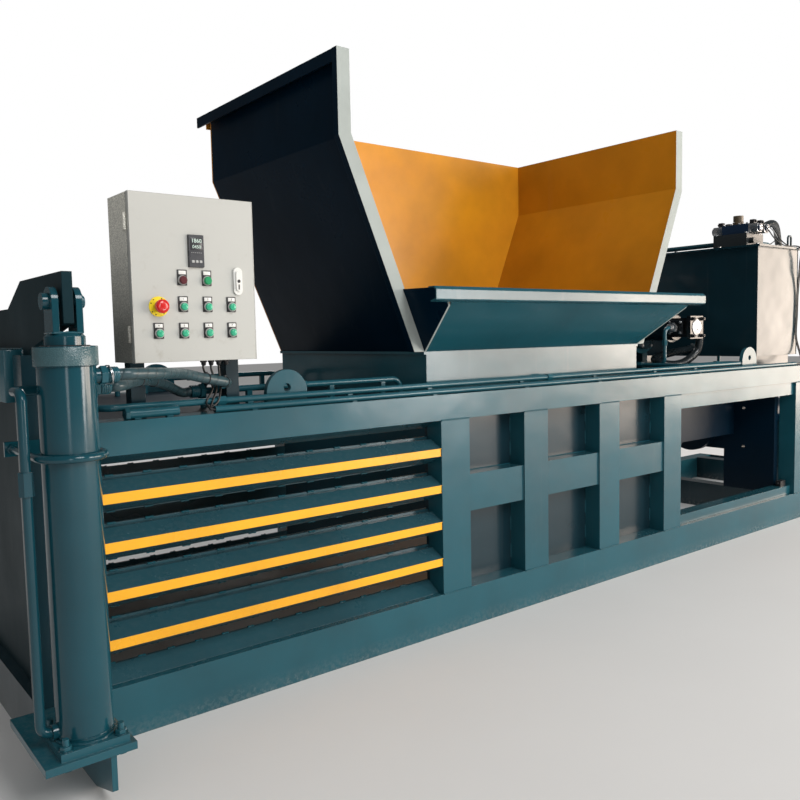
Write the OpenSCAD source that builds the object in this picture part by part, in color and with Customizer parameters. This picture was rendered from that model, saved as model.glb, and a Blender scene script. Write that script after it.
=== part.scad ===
// Horizontal recycling baler with a lift gate, a feed hopper, a power pack and a control box.
// The origin is at the centre of the base's underside. +X runs from the gate to the main
// cylinder, -Y is the operator's side and +Z is up. Lengths along X are counted from the gate end.

/* [Base frame] */
// Length of the base, from the gate end to the cylinder end
base_len = 5500; // [5450:10:5700]
// Width over the side frames
base_w = 1300; // [1240:10:1400]
// Height of the bottom rails
rail_h = 160; // [140:5:180]
// Depth of a side frame, from its outer face to the chamber
side_t = 100; // [90:2:120]
// Wall of the rails and posts
tube_wall = 8; // [5:1:12]
// Thickness of the plates that close the base's ends
end_t = 10; // [6:1:16]
// Width of the ties between the bottom rails
tie_w = 100; // [80:5:140]
// Thickness of the chamber's floor plate
floor_t = 20; // [12:1:30]

/* [Side frames] */
// Height of the frame's top
frame_h = 950; // [920:5:1000]
// Height of the top rails
top_rail_h = 100; // [80:5:120]
// Width of a side post
post_w = 150; // [120:5:170]
// Distance of the first post from the gate end
post_1_x = 1505; // [1490:5:1520]
// Distance of the second post from the gate end
post_2_x = 1975; // [1950:5:1990]
// Distance of the third post from the gate end
post_3_x = 2485; // [2460:5:2510]
// Distance of the fourth post from the gate end
post_4_x = 3005; // [2985:5:3020]
// Distance of the rear post from the gate end
rear_post_x = 4395; // [4380:5:4430]
// Width of the rear post
rear_post_w = 200; // [160:5:220]
// Width of the post beside the gate
gate_post_w = 120; // [90:5:130]
// Height of the ribs between the posts
rib_h = 150; // [110:5:190]
// Height of the ribs' centre
rib_z = 545; // [500:5:580]
// How far a rib stands back from the posts' face
rib_inset = 8; // [4:1:20]
// Thickness of the chamber's side wall
wall_t = 16; // [10:1:20]
// Height of the upper ram guide
guide_rail_h = 76; // [60:2:90]
// Height of the lower ram guide
low_guide_h = 50; // [36:2:60]

/* [Bale chamber slats] */
// Number of slats on each side
slat_count = 4; // [3:1:4]
// Height of the gap between two slats
wire_gap = 35; // [28:1:45]
// Height of a slat's front face
slat_face_h = 30; // [22:1:36]
// Height of the wear strip below the slats
sill_h = 41; // [30:1:60]
// Height of the wear strip above the slats
header_h = 34; // [24:1:50]
// Thickness of the folded slat plate
slat_t = 8; // [5:1:10]
// Thickness of the wear strip
strip_t = 12; // [8:1:14]

/* [Gate] */
// Thickness of the gate plate
gate_t = 25; // [20:1:32]
// Running gap between the gate and its guides
gate_gap = 6; // [3:1:8]
// Thickness of the guides' bars
guide_t = 27; // [20:1:32]
// How far the guides overlap the gate's edge
guide_lap = 60; // [40:2:64]
// Height of the guides' top
guide_top = 1150; // [1130:5:1154]
// Height of the gate's top between its arms
gate_top = 1283; // [1260:1:1300]
// Height of the arms' top
arm_top = 1355; // [1345:1:1365]
// Travel of the gate
gate_lift = 720; // [600:10:740]

/* [Lift cylinders] */
// Distance of a cylinder's axis from the side frame's face
lift_offset = 250; // [240:2:262]
// Outer diameter of the barrel
lift_d = 140; // [136:1:144]
// Bore of the barrel
lift_bore = 110; // [100:1:112]
// Diameter of the rod
lift_rod_d = 80; // [70:1:84]
// Diameter of the gland cap
lift_cap_d = 152; // [149:1:158]
// Height of the gland cap
lift_cap_h = 48; // [40:1:56]
// Height of the gland cap's top
lift_top = 1173; // [1165:1:1176]
// Width of the square foot flange
foot_w = 170; // [166:1:180]
// Thickness of the foot flange and of the bracket plate
foot_t = 20; // [16:1:24]
// Distance between the foot's bolts
foot_pitch = 136; // [134:1:140]
// Diameter of the foot's bolts
bolt_d = 16; // [14:1:18]
// Diameter of the fork's neck
neck_d = 97; // [90:1:104]
// Width of the fork
fork_w = 73; // [68:1:80]
// Gap between the fork's ears
fork_gap = 41; // [34:1:44]
// Depth of the fork's ears
ear_w = 72; // [60:1:80]
// Diameter of the fork pin
pin_d = 30; // [24:1:34]
// Height of the fork pin
pin_z = 1283; // [1280:1:1290]
// Diameter of the round bar that steadies the barrel
hoop_d = 20; // [14:1:24]
// Height of the round bar
hoop_z = 900; // [820:5:940]
// Diameter of the rigid oil tube beside the barrel
tube_d = 25; // [18:1:28]

/* [Lifting lugs] */
// Distance of the first lug from the gate end
lug_1_x = 862; // [850:2:880]
// Distance of the second lug from the gate end
lug_2_x = 3960; // [3940:5:3990]
// Distance of a lug's outer face from the side frame's face
lug_in = 66; // [62:1:70]
// Thickness of a lug
lug_t = 20; // [16:1:24]
// Radius of a lug's round top
lug_r = 80; // [70:1:85]
// Height of the round top's centre above the frame
lug_rise = 45; // [40:1:60]
// Diameter of a lug's hole
lug_hole_d = 28; // [22:1:34]

/* [Hopper] */
// Distance of the hopper's centre from the gate end
hopper_x = 2205; // [2195:5:2215]
// Length of the feed opening's collar
collar_len = 1384; // [1340:2:1390]
// Height of the collar's top
collar_top = 1117; // [1100:1:1140]
// Thickness of the collar and hopper plates
hopper_t = 8; // [6:1:12]
// Half the hopper's length at the bend of its end walls
hopper_half = 1030; // [980:5:1060]
// Height of the bend in the end walls
bend_z = 1915; // [1850:5:1950]
// Height of the hopper's top
hopper_top = 2210; // [2180:5:2240]
// Width of the flange on the end walls' near edge
flange_w = 55; // [45:1:65]
// Depth of that flange
flange_t = 30; // [22:1:40]
// Width of the rim along the top
rim_w = 45; // [35:1:55]
// How far the loading lip reaches out from the collar
lip_reach = 240; // [200:5:280]
// How far the loading lip rises
lip_rise = 183; // [160:1:200]
// Half the length of the folded lip
lip_half = 870; // [850:5:890]

/* [Ram] */
// Travel of the ram
ram_stroke = 1450; // [1300:10:1450]
// Thickness of the ram's face plate
platen_t = 40; // [30:1:60]
// Clearance of the ram inside the chamber
ram_gap = 4; // [2:1:8]
// Length of the ram's body behind its face plate
ram_len = 1340; // [1250:10:1350]
// Outer diameter of the main cylinder
main_d = 219; // [205:1:225]
// Bore of the main cylinder
main_bore = 180; // [170:1:190]
// Diameter of the main rod
main_rod_d = 125; // [100:1:140]
// Length of the main cylinder
main_len = 1700; // [1680:10:1710]
// Thickness of the plate that carries the main cylinder
cross_t = 40; // [30:1:42]

/* [Power pack] */
// Distance of the tank from the gate end
tank_x = 4100; // [4080:5:4120]
// Length of the tank along the machine
tank_len = 495; // [450:5:520]
// Height of the tank
tank_h = 650; // [600:5:680]
// Height of the tank's feet
tank_foot_h = 65; // [50:1:80]
// Sheet of the tank
tank_t = 6; // [4:1:8]
// Distance of the pump's axis from the gate end
pump_x = 3655; // [3630:5:3670]
// Height of the pump's axis
pump_z = 1195; // [1180:1:1210]
// Diameter of the motor's frame
motor_d = 300; // [260:5:320]
// Diameter of the oil pipes along the top
pipe_d = 22; // [18:1:25]
// Diameter of the suction hose
suction_d = 46; // [38:1:50]
// Diameter of the lift cylinders' hoses
hose_d = 32; // [24:1:34]

/* [Control box] */
// Distance of the box from the gate end
box_x = 313; // [305:1:325]
// Width of the box
box_w = 400; // [390:1:420]
// Height of the box
box_h = 500; // [480:1:520]
// Depth of the box, with its door
box_d = 170; // [150:1:190]
// Height of the box's underside
box_z = 1117; // [1100:1:1130]
// Thickness of the door's pan
door_t = 22; // [18:1:26]
// Sheet of the box and door
sheet_t = 2; // [1.5:0.5:3]
// Distance between the rows and columns of controls
key_pitch = 80; // [76:1:84]
// Diameter of a push button's head
key_d = 22; // [20:0.5:24]
// Diameter of the ring round a button
bezel_d = 29; // [27:0.5:31]
// Travel of a push button
key_travel = 4; // [2:0.5:5]
// Diameter of the emergency stop's head
stop_d = 40; // [36:1:44]
// Width of the stand's two posts
stand_w = 45; // [40:1:50]

/* [Hidden] */

$fn = 48;
teal = [0.10, 0.27, 0.33];
dark_teal = [0.05, 0.14, 0.19];
orange = [0.85, 0.52, 0.12];
yellow = [0.98, 0.72, 0.13];
steel = [0.62, 0.64, 0.66];
black = [0.06, 0.06, 0.07];
door_grey = [0.80, 0.80, 0.76];
shell_grey = [0.50, 0.50, 0.48];
green = [0.20, 0.68, 0.50];

near = -base_w / 2;
inner = base_w / 2 - side_t;
top_rail_z = frame_h - top_rail_h;
floor_z = rail_h + floor_t;
gate_x = guide_t + gate_gap;
gate_back = gate_x + gate_t;
gate_rib_d = gate_x - 3;
frame_x = gate_back + gate_gap;
posts = [post_1_x, post_2_x, post_3_x, post_4_x];
wall_end = post_4_x + post_w;
frame_end = rear_post_x + rear_post_w;
post_depth = side_t - wall_t;
slat_back_h = (top_rail_z - rail_h - sill_h - header_h - (slat_count + 1) * wire_gap) / slat_count;
slat_pitch = slat_back_h + wire_gap;
slat_top_z = top_rail_z - header_h - wire_gap - slat_back_h / 2;
deck_t = 12;
weld_gap = 0.3;
run_gap = 0.1;

collar_half = collar_len / 2;
collar_out = inner + hopper_t;
wall_slope = (hopper_half - collar_half) / (bend_z - collar_top);
feed_x0 = hopper_x - collar_half;
feed_x1 = hopper_x + collar_half;

tank_z = frame_h + tank_foot_h;
tank_top = tank_z + tank_h;
lid_t = 12;
valve_x = tank_x + 130;
valve_y = near + 320;
motor_y = near + 580;
pump_y = near + 220;
pump_len = 160;
pump_port = 95;
bell_len = motor_y - pump_y - pump_len;
port_h = 30;
pipe_low = top_rail_z + floor_t + 30;
deck_hole_x = 1440;

lift_y = near - lift_offset;
lift_x = gate_x + gate_t / 2;
port_z = lift_top - lift_cap_h - 28;
tube_top = lift_top - 110;
hose_1_end = [628, -530, frame_h + 92];
hose_2_end = [600, -480, frame_h + 62];
hose_1_from = [lift_x + lift_d / 2 + 12, lift_y, port_z];
hose_2_from = [lift_x + lift_d / 2 + 20, lift_y + lift_d / 2 + tube_d / 2 + 6, tube_top];
pipe_bend = 40;
cable_d = 7;
fitting_l = 45;
coupling_l = 30;
pipe_2_x = 230;
pipe_2_y = -440;
deck_holes = [for (side = [-1, 1]) each
    [[hose_1_end[0], side * (hose_1_end[1] + 110)], [deck_hole_x, side * hose_2_end[1]]]];
lug_hole_rise = lug_rise + 18;
bracket_top = rail_h;
foot_top = bracket_top + foot_t;

main_z = (rail_h + top_rail_z) / 2 + 50;
cross_x = rear_post_x - cross_t - 20;
saddle_x = base_len - end_t - 2 * tie_w;
barrel_x = cross_x - 600;
barrel_end_t = 60;
tail_port_x = barrel_x + main_len - 90;
front_port_x = barrel_x + 125;
front_pipe_z = main_z + main_d / 2 + 86;
main_port = [valve_x + 200, valve_y + 40, tank_top + lid_t + 45];
piston_l = 100;
ram_x = feed_x1 + 20;
ram_top = top_rail_z - ram_gap;
ram_low = floor_z + weld_gap;
ram_half = inner - ram_gap;

shell_y = near + door_t + sheet_t;
hinge_d = 10;
hinge_x = box_x - hinge_d / 2 - weld_gap;
hinge_y = near + door_t;
key_x = [75, 75 + key_pitch, 75 + 2 * key_pitch, 75 + 3 * key_pitch];
key_z = [246, 246 - key_pitch, 246 - 2 * key_pitch];
lamp_at = [[key_x[1], key_z[0]], [key_x[2], key_z[0]]];
button_at = [for (row = [1, 2], i = [2 - row:3]) [key_x[i], key_z[row]]];
stop_at = [key_x[0] + 3, key_z[1]];
meter_at = [202, 335];
meter_w = 48;
meter_h = 96;
lock_at = [340, 247];
lock_t = 6;
lock_pin_d = 12;
holder_t = 2;
bezel_h = 6;
plunger_d = 10;
hole_d = key_d + 2 * run_gap;

// Lengths along X are counted from the gate end
module along_x(a, b) translate([a - base_len / 2, 0, 0]) rotate([90, 0, 90]) linear_extrude(b - a) children();
module across_y(a, b) translate([-base_len / 2, b, 0]) rotate([90, 0, 0]) linear_extrude(b - a) children();
module up_z(a, b) translate([-base_len / 2, 0, a]) linear_extrude(b - a) children();
module at(x, y, z) translate([x - base_len / 2, y, z]) children();
module box(lo, hi) translate([lo[0] - base_len / 2, lo[1], lo[2]]) cube(hi - lo);
module corners(lo, hi) translate(lo) cube(hi - lo);
module both_sides() for (side = [0, 1]) mirror([0, side, 0]) children();
module cube_xz(size) translate([-size[0] / 2, 0, -size[2] / 2]) cube(size);
module rect(lo, hi) translate(lo) square(hi - lo);
module rect_ring(lo, hi, wall) difference() {
    rect(lo, hi);
    rect(lo + [wall, wall], hi - [wall, wall]);
}
module ring(outer, hole, length) difference() {
    cylinder(d = outer, h = length);
    translate([0, 0, -1]) cylinder(d = hole, h = length + 2);
}
module rod_y(d, length) rotate([-90, 0, 0]) cylinder(d = d, h = length);
module rod_x(d, length) rotate([0, 90, 0]) cylinder(d = d, h = length);
// A bar or pipe of round section along a route, with a bend of radius r at each corner
function unit(v) = v / norm(v);
function side_of(v) = unit(cross(v, abs(v[2]) > 0.9 ? [1, 0, 0] : [0, 0, 1]));
module facing(x_dir, z_dir) {
    y_dir = cross(z_dir, x_dir);
    multmatrix([[x_dir[0], y_dir[0], z_dir[0], 0], [x_dir[1], y_dir[1], z_dir[1], 0],
        [x_dir[2], y_dir[2], z_dir[2], 0], [0, 0, 0, 1]]) children();
}
module pipe_run(route, d, r) {
    last = len(route) - 1;
    back = function (i) unit(route[i - 1] - route[i]);
    ahead = function (i) unit(route[i + 1] - route[i]);
    turn = function (i) 180 - acos(back(i) * ahead(i));
    cut = function (i) i == 0 || i == last ? 0 : r * tan(turn(i) / 2);
    for (i = [0:last - 1]) {
        dir = ahead(i);
        translate(route[i] + dir * cut(i)) facing(side_of(dir), dir)
            cylinder(d = d, h = norm(route[i + 1] - route[i]) - cut(i) - cut(i + 1), $fn = 24);
    }
    for (i = [1:1:last - 1]) {
        centre = route[i] + unit(back(i) + ahead(i)) * r / cos(turn(i) / 2);
        from = (route[i] + back(i) * cut(i) - centre) / r;
        to = (route[i] + ahead(i) * cut(i) - centre) / r;
        translate(centre) facing(from, unit(cross(from, to)))
            rotate_extrude(angle = turn(i), $fn = 48) translate([r, 0]) circle(d = d, $fn = 24);
    }
}
// A hose is swept along a smooth curve through its route, and leaves straight at both ends
function route_dir(route, i) = route[min(i + 1, len(route) - 1)] - route[max(i - 1, 0)];
function between(route, i, t) = let (a = route[i], b = route[i + 1],
    m = route_dir(route, i) / (i == 0 ? 1 : 2), n = route_dir(route, i + 1) / (i + 2 == len(route) ? 1 : 2))
    a + m * t + (3 * (b - a) - 2 * m - n) * t * t + (2 * (a - b) + m + n) * t * t * t;
module hose(route, d, steps = 5, sides = 12) {
    last = len(route) - 1;
    path = concat([for (i = [0:last - 1], k = [0:steps - 1]) between(route, i, k / steps)], [route[last]]);
    count = len(path);
    dirs = [for (i = [0:count - 1]) unit(i == 0 ? route[1] - route[0]
        : i == count - 1 ? route[last] - route[last - 1] : path[i + 1] - path[i - 1])];
    carry = function (v, dir) unit(v - dir * (v * dir));
    across = [for (i = 0, v = side_of(dirs[0]); i < count; i = i + 1, v = i < count ? carry(v,
        dirs[i]) : v) v];
    points = [for (i = [0:count - 1], k = [0:sides - 1])
        path[i] + (across[i] * cos(360 * k / sides) + cross(dirs[i],
            across[i]) * sin(360 * k / sides)) * d / 2];
    walls = [for (i = [0:count - 2], k = [0:sides - 1])
        let (a = i * sides + k, b = i * sides + (k + 1) % sides) [a, a + sides, b + sides, b]];
    polyhedron(points, concat(walls, [[for (k = [0:sides - 1]) k],
        [for (k = [sides - 1:-1:0]) (count - 1) * sides + k]]));
}
module slot_2d(w, h) {
    for (end = [-1, 1]) translate([0, end * (h - w) / 2]) circle(d = w);
    square([w, h - w], center = true);
}

module base_rails() color(teal) both_sides()
    along_x(end_t, base_len - end_t) rect_ring([near, 0], [near + side_t, rail_h], tube_wall);

module cross_members() color(dark_teal) {
    for (x = [0, base_len - end_t]) box([x, near, 0], [x + end_t, -near, rail_h]);
    for (x = [end_t, (end_t + post_1_x) / 2, post_1_x, (base_len - tie_w) / 2, wall_end - tie_w, cross_x,
        saddle_x])
        difference() {
            box([x, -inner, 0], [x + tie_w, inner, rail_h]);
            box([x + tube_wall, -inner - 1, tube_wall],
                [x + tie_w - tube_wall, inner + 1, rail_h - tube_wall]);
        }
    difference() {
        box([saddle_x + 30, -main_d, rail_h], [saddle_x + 60, main_d, main_z]);
        at(saddle_x, 0, main_z) rod_x(main_d + 2 * weld_gap, 100);
    }
}

module floor_plate() color(steel) box([frame_x, -inner, rail_h], [wall_end, inner, floor_z]);

module top_rails() color(teal) both_sides()
    along_x(frame_x, frame_end) rect_ring([near, top_rail_z], [near + side_t, frame_h], tube_wall);

module post(x, w, depth) up_z(rail_h, top_rail_z) rect_ring([x, near], [x + w, near + depth], tube_wall);
module side_posts() color(teal) both_sides() {
    post(frame_x, gate_post_w, side_t);
    for (x = posts) post(x, post_w, post_depth);
    post(rear_post_x, rear_post_w, side_t);
}
module side_ribs() color(teal) both_sides()
    for (i = [0:2]) along_x(posts[i] + post_w + weld_gap, posts[i + 1] - weld_gap)
        rect_ring([near + rib_inset, rib_z - rib_h / 2], [near + post_depth, rib_z + rib_h / 2], tube_wall);

module chamber_walls() color(dark_teal) both_sides()
    box([post_1_x, -inner - wall_t, rail_h], [wall_end, -inner, top_rail_z]);

module ram_guides() color(teal) both_sides() {
    box([wall_end, near + 15, top_rail_z - guide_rail_h], [rear_post_x, near + side_t, top_rail_z]);
    box([wall_end, near + 25, rail_h], [rear_post_x, near + side_t, rail_h + low_guide_h]);
}

module deck_plates() color(dark_teal) {
    difference() {
        box([frame_x, -inner, frame_h - deck_t], [feed_x0, inner, frame_h]);
        for (spot = deck_holes) at(spot[0], spot[1], frame_h - deck_t - 1) cylinder(d = pipe_d + 6,
            h = deck_t + 2);
        box([pipe_2_x - 16, pipe_2_y - 46, frame_h - deck_t - 1],
            [pipe_2_x + 16, pipe_2_y + 16, frame_h + 1]);
    }
    box([feed_x1, -inner, frame_h - deck_t], [frame_end, inner, frame_h]);
    box([frame_x, -inner, top_rail_z], [feed_x0, inner, top_rail_z + floor_t]);
}

// A slat is a folded plate in front of a flat wear strip
module slat_2d() {
    back = side_t - strip_t;
    shoulder = slat_back_h / 2 - 8;
    slope_y = side_t * 0.62;
    difference() {
        polygon([[0, -slat_face_h / 2], [0, slat_face_h / 2], [slope_y, shoulder], [back, shoulder],
            [back, slat_back_h / 2], [side_t, slat_back_h / 2], [side_t, -slat_back_h / 2],
            [back, -slat_back_h / 2], [back, -shoulder], [slope_y, -shoulder]]);
        polygon([[slat_t, -slat_face_h / 2 + 4], [slat_t, slat_face_h / 2 - 4],
            [slope_y + 2, shoulder - slat_t], [back, shoulder - slat_t],
            [back, slat_t - shoulder], [slope_y + 2, slat_t - shoulder]]);
    }
}
module slats() along_x(frame_x + gate_post_w, post_1_x) {
    for (i = [0:slat_count - 1]) translate([near, slat_top_z - i * slat_pitch]) slat_2d();
    sill_top = rail_h + sill_h;
    polygon([[near + side_t * 0.3, rail_h], [near + side_t, rail_h], [near + side_t, sill_top],
        [near + side_t - strip_t, sill_top]]);
    cap_low = top_rail_z - header_h;
    polygon([[near + side_t * 0.35, top_rail_z], [near + side_t - strip_t, cap_low],
        [near + side_t, cap_low], [near + side_t, top_rail_z]]);
}
module side_slats() color(yellow) both_sides() slats();

// The guide is a channel open towards the gate, with its inner bar only above the frame
module gate_guides() color(dark_teal) both_sides() {
    box([0, near, rail_h], [guide_t, near + guide_t + guide_lap, guide_top]);
    box([guide_t, near, rail_h], [frame_x, near + guide_t, guide_top]);
    box([frame_x, near, frame_h], [frame_x + guide_t, near + guide_t + guide_lap, guide_top]);
}

module cross_plate() color(dark_teal) difference() {
    box([cross_x, -inner, rail_h], [cross_x + cross_t, inner, top_rail_z]);
    at(cross_x - 1, 0, main_z) rod_x(main_d + 2 * weld_gap, cross_t + 2);
    box([cross_x - 1, -main_d, rail_h - 1], [cross_x + cross_t + 1, main_d, main_z - main_d / 2 - 40]);
    for (y = [-1, 1], z = [-1, 1]) at(cross_x - 1, y * 350, main_z + z * 123) rod_x(22, cross_t + 2);
    at(cross_x - 1, 0, front_pipe_z) rod_x(pipe_d + 10, cross_t + 2);
}

module main_barrel() color(dark_teal) at(barrel_x, 0, main_z) rotate([0, 90, 0]) difference() {
    union() {
        cylinder(d = main_d, h = main_len);
        cylinder(d = main_d + 36, h = 70);
        translate([0, 0, cross_x - barrel_x - 50]) cylinder(d = main_d + 130, h = 50);
        for (x = [front_port_x, tail_port_x]) translate([-main_d / 2 + 20, 0, x - barrel_x])
            rotate([0, -90, 0]) cylinder(d = 56, h = port_h + 20);
    }
    translate([0, 0, barrel_end_t]) cylinder(d = main_bore, h = main_len - barrel_end_t - 40);
    translate([0, 0, -1]) cylinder(d = main_rod_d + 2 * run_gap, h = barrel_end_t + 2);
}

module lift_barrels() color(teal) both_sides() {
    lift_barrel();
    at(lift_x, lift_y, lift_top - lift_cap_h) ring(lift_cap_d, lift_rod_d + 2 * run_gap, lift_cap_h);
}
module lift_barrel() at(lift_x, lift_y, foot_top) difference() {
    union() {
        cylinder(d = lift_d, h = lift_top - lift_cap_h - weld_gap - foot_top);
        translate([0, 0, 25]) rotate([0, -90, 0]) cylinder(d = tube_d + 14, h = lift_d / 2 + 12);
        translate([0, 0, port_z - foot_top]) rod_x(tube_d + 14, lift_d / 2 + 12);
    }
    translate([0, 0, 10]) cylinder(d = lift_bore, h = lift_top);
}

module lift_brackets() color(teal) both_sides() {
    half = foot_w / 2;
    difference() {
        union() {
            up_z(bracket_top, foot_top) translate([lift_x, lift_y]) square(foot_w, center = true);
            up_z(bracket_top - foot_t, bracket_top) rect([lift_x - half - 40, lift_y - half - 12],
                [lift_x + half + 14, near]);
        }
        for (x = [-1, 1], y = [-1, 1])
            at(lift_x + x * foot_pitch / 2, lift_y + y * foot_pitch / 2, bracket_top - foot_t - 1)
                cylinder(d = bolt_d + 1, h = 2 * foot_t + 2);
    }
    gusset_x = lift_x + 34;
    along_x(gusset_x, gusset_x + 15) polygon([[lift_y - half, bracket_top - foot_t], [lift_y - half, 42],
        [lift_y - half + 130, 1], [near, 1], [near, bracket_top - foot_t]]);
}

module foot_bolts() color(steel) both_sides() for (x = [-1, 1], y = [-1, 1])
    at(lift_x + x * foot_pitch / 2, lift_y + y * foot_pitch / 2, bracket_top - foot_t - 10) {
        cylinder(d = bolt_d * 1.8, h = 10, $fn = 6);
        cylinder(d = bolt_d, h = 2 * foot_t + 40);
        translate([0, 0, 2 * foot_t + 10]) cylinder(d = bolt_d * 1.8, h = 13, $fn = 6);
    }

// A round bar bent round the barrel, with two arms welded to the side frame
module lift_hoops() color(teal) both_sides() at(lift_x, lift_y, hoop_z) {
    bend_r = lift_d / 2 + hoop_d / 2 + weld_gap;
    rotate([0, 0, 180]) rotate_extrude(angle = 180) translate([bend_r, 0]) circle(d = hoop_d, $fn = 24);
    for (side = [-1, 1]) translate([side * bend_r, 0, 0]) rotate([-90, 0, 0])
        cylinder(d = hoop_d, h = near - lift_y - hoop_d / 2, $fn = 24);
    plate_x = bend_r + hoop_d;
    translate([-plate_x, near - lift_y - hoop_d / 2, -hoop_d]) cube([2 * plate_x, hoop_d / 2, 2 * hoop_d]);
}

// A fitting is a steel ferrule with a hexagon behind it
module fitting(end, dir) translate(end) facing(side_of(dir), dir) {
    difference() {
        union() {
            cylinder(d = hose_d + 11, h = 16, $fn = 6);
            cylinder(d = hose_d + 6, h = fitting_l - 1);
        }
        translate([0, 0, -1]) cylinder(d = hose_d + 2 * weld_gap, h = fitting_l + 2);
    }
}
module lift_tubes() color(teal) both_sides() {
    at(0, 0, 0) {
        fitting(hose_1_from, [1, 0, 0]);
        fitting(hose_2_from, [1, 0, 0]);
        fitting(hose_1_end, [0, -1, 0]);
        fitting(hose_2_end, [-1, 0, 0]);
    }
    at(lift_x, lift_y, 0) lift_tube();
}
module lift_tube() {
    bend = 26;
    port_x = lift_d / 2 + 12;
    low = foot_top + 25;
    behind = lift_d / 2 + tube_d / 2 + 6;
    pipe_run([[-port_x, 0, low], [-port_x - bend, 0, low], [-port_x - bend, 0, tube_top],
        [-port_x - bend, behind, tube_top], [port_x + 8, behind, tube_top]], tube_d, bend);
    translate([-port_x - bend, 0, hoop_z - 90]) cylinder(d = tube_d + 12, h = 60, $fn = 6);
}

// An end wall of the hopper leans out to the bend and is upright above it
function wall_line(z) = collar_half + (min(z, bend_z) - collar_top) * wall_slope;
module wall_2d(thickness) {
    slant = thickness / cos(atan(wall_slope));
    outer_bend = bend_z - (slant - thickness) / wall_slope;
    polygon([[collar_half, collar_top], [hopper_half, bend_z], [hopper_half, hopper_top],
        [hopper_half + thickness, hopper_top], [hopper_half + thickness, outer_bend],
            [collar_half + slant, collar_top]]);
}
module rim_2d() difference() {
    rect([0, -rim_w], [rim_w, 0]);
    rect([-1, -rim_w - 1], [rim_w - hopper_t, -hopper_t]);
}
module hopper_end() {
    lip_y = -collar_out - lip_reach;
    lip_z = collar_top + lip_rise;
    across_y(-collar_out, inner) translate([hopper_x, 0]) wall_2d(hopper_t);
    across_y(-collar_out, flange_t - collar_out) translate([hopper_x, 0]) wall_2d(flange_w);
    across_y(-collar_out, collar_out + rim_w) translate([hopper_x + hopper_half + hopper_t,
        hopper_top]) rim_2d();
    intersection() {
        across_y(lip_y, -collar_out) translate([hopper_x, 0]) wall_2d(hopper_t);
        along_x(0, base_len) polygon([[-collar_out, collar_top],
            [lip_y + 14, lip_z - 14 * lip_rise / lip_reach], [lip_y + 14, lip_z + 56],
                [-collar_out, lip_z + 60]]);
    }
}
module hopper_rear_wall() color(dark_teal) hopper_end();
module hopper_gate_wall() color(dark_teal)
    translate([2 * hopper_x - base_len, 0, 0]) mirror([1, 0, 0]) hopper_end();

module hopper_far_wall() color(orange) {
    across_y(inner, collar_out) translate([hopper_x, 0]) polygon([
        [-collar_half - hopper_t, collar_top], [-hopper_half - hopper_t, bend_z],
            [-hopper_half - hopper_t, hopper_top],
        [hopper_half + hopper_t, hopper_top], [hopper_half + hopper_t, bend_z],
            [collar_half + hopper_t, collar_top]]);
    along_x(hopper_x - hopper_half - hopper_t, hopper_x + hopper_half + hopper_t)
        translate([collar_out, hopper_top]) rim_2d();
}

// The loading lip's panel rises outwards and ends in a folded channel
module hopper_lip() color(teal) {
    panel_t = 6;
    low = [-collar_out, collar_top];
    high = low + [-lip_reach, lip_rise];
    normal = unit([lip_rise, lip_reach]) * panel_t;
    seat = panel_t * norm([lip_rise, lip_reach]) / lip_rise;
    lap = unit([-lip_reach, lip_rise]) * 3;
    intersection() {
        along_x(0, base_len) polygon([low, high + lap, high + lap + normal, low + [seat, 0]]);
        across_y(-base_w, 0) translate([hopper_x, 0]) polygon([[-collar_half, collar_top],
            [-wall_line(collar_top + 2 * lip_rise), collar_top + 2 * lip_rise],
            [wall_line(collar_top + 2 * lip_rise), collar_top + 2 * lip_rise], [collar_half, collar_top]]);
    }
    fold_t = 5;
    along_x(hopper_x - lip_half, hopper_x + lip_half) translate(high) polygon([[0, 0], [-26, 6],
        [-30, 10], [-30, 44],
        [-18, 56], [14, 56], [14, 56 - fold_t], [-18 + fold_t / 2, 56 - fold_t],
            [-30 + fold_t, 44 - fold_t / 2],
        [-30 + fold_t, 12], [-26 + fold_t, 6 + fold_t], normal]);
}

module hopper_collar() color(teal) {
    difference() {
        union() {
            box([feed_x0, -collar_out, frame_h], [feed_x1, collar_out, collar_top]);
            box([feed_x0 - 12, -collar_out, collar_top - 12], [feed_x1 + 12, collar_out, collar_top]);
        }
        box([feed_x0 + hopper_t, -inner, frame_h - 1], [feed_x1 - hopper_t, inner, collar_top + 1]);
    }
    box([feed_x0, -inner, top_rail_z], [feed_x0 + hopper_t, inner, frame_h]);
    box([feed_x1 - hopper_t, -inner, top_rail_z], [feed_x1, inner, frame_h]);
}

module lifting_lugs() color(teal) both_sides() for (x = [lug_1_x, lug_2_x])
    across_y(near + lug_in, near + lug_in + lug_t) translate([x, frame_h]) difference() {
        union() {
            intersection() {
                translate([0, lug_rise]) circle(r = lug_r);
                rect([-lug_r, 0], [lug_r, 2 * lug_r]);
            }
            rect([-lug_r, 0], [lug_r, lug_rise]);
        }
        translate([0, lug_hole_rise]) circle(d = lug_hole_d);
    }

// A pipe line is cut into lengths at the route's points named in cuts, and each length ends in a
// hexagonal coupling that takes the next one
module pipe_line(route, cuts = []) {
    ends = concat([0], cuts, [len(route) - 1]);
    for (i = [0:len(ends) - 2]) {
        part = [for (k = [ends[i]:ends[i + 1]]) route[k]];
        count = len(part);
        start = part[0] + (i == 0 ? 0 : weld_gap) * unit(part[1] - part[0]);
        pipe_run([for (k = [0:count - 1]) k == 0 ? start : part[k]], pipe_d, pipe_bend);
        way = unit(part[count - 1] - part[count - 2]);
        if (i < len(ends) - 2) translate(part[count - 1] - way * coupling_l) facing(side_of(way), way)
            cylinder(d = pipe_d * 1.5, h = coupling_l, $fn = 6);
    }
}

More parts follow.
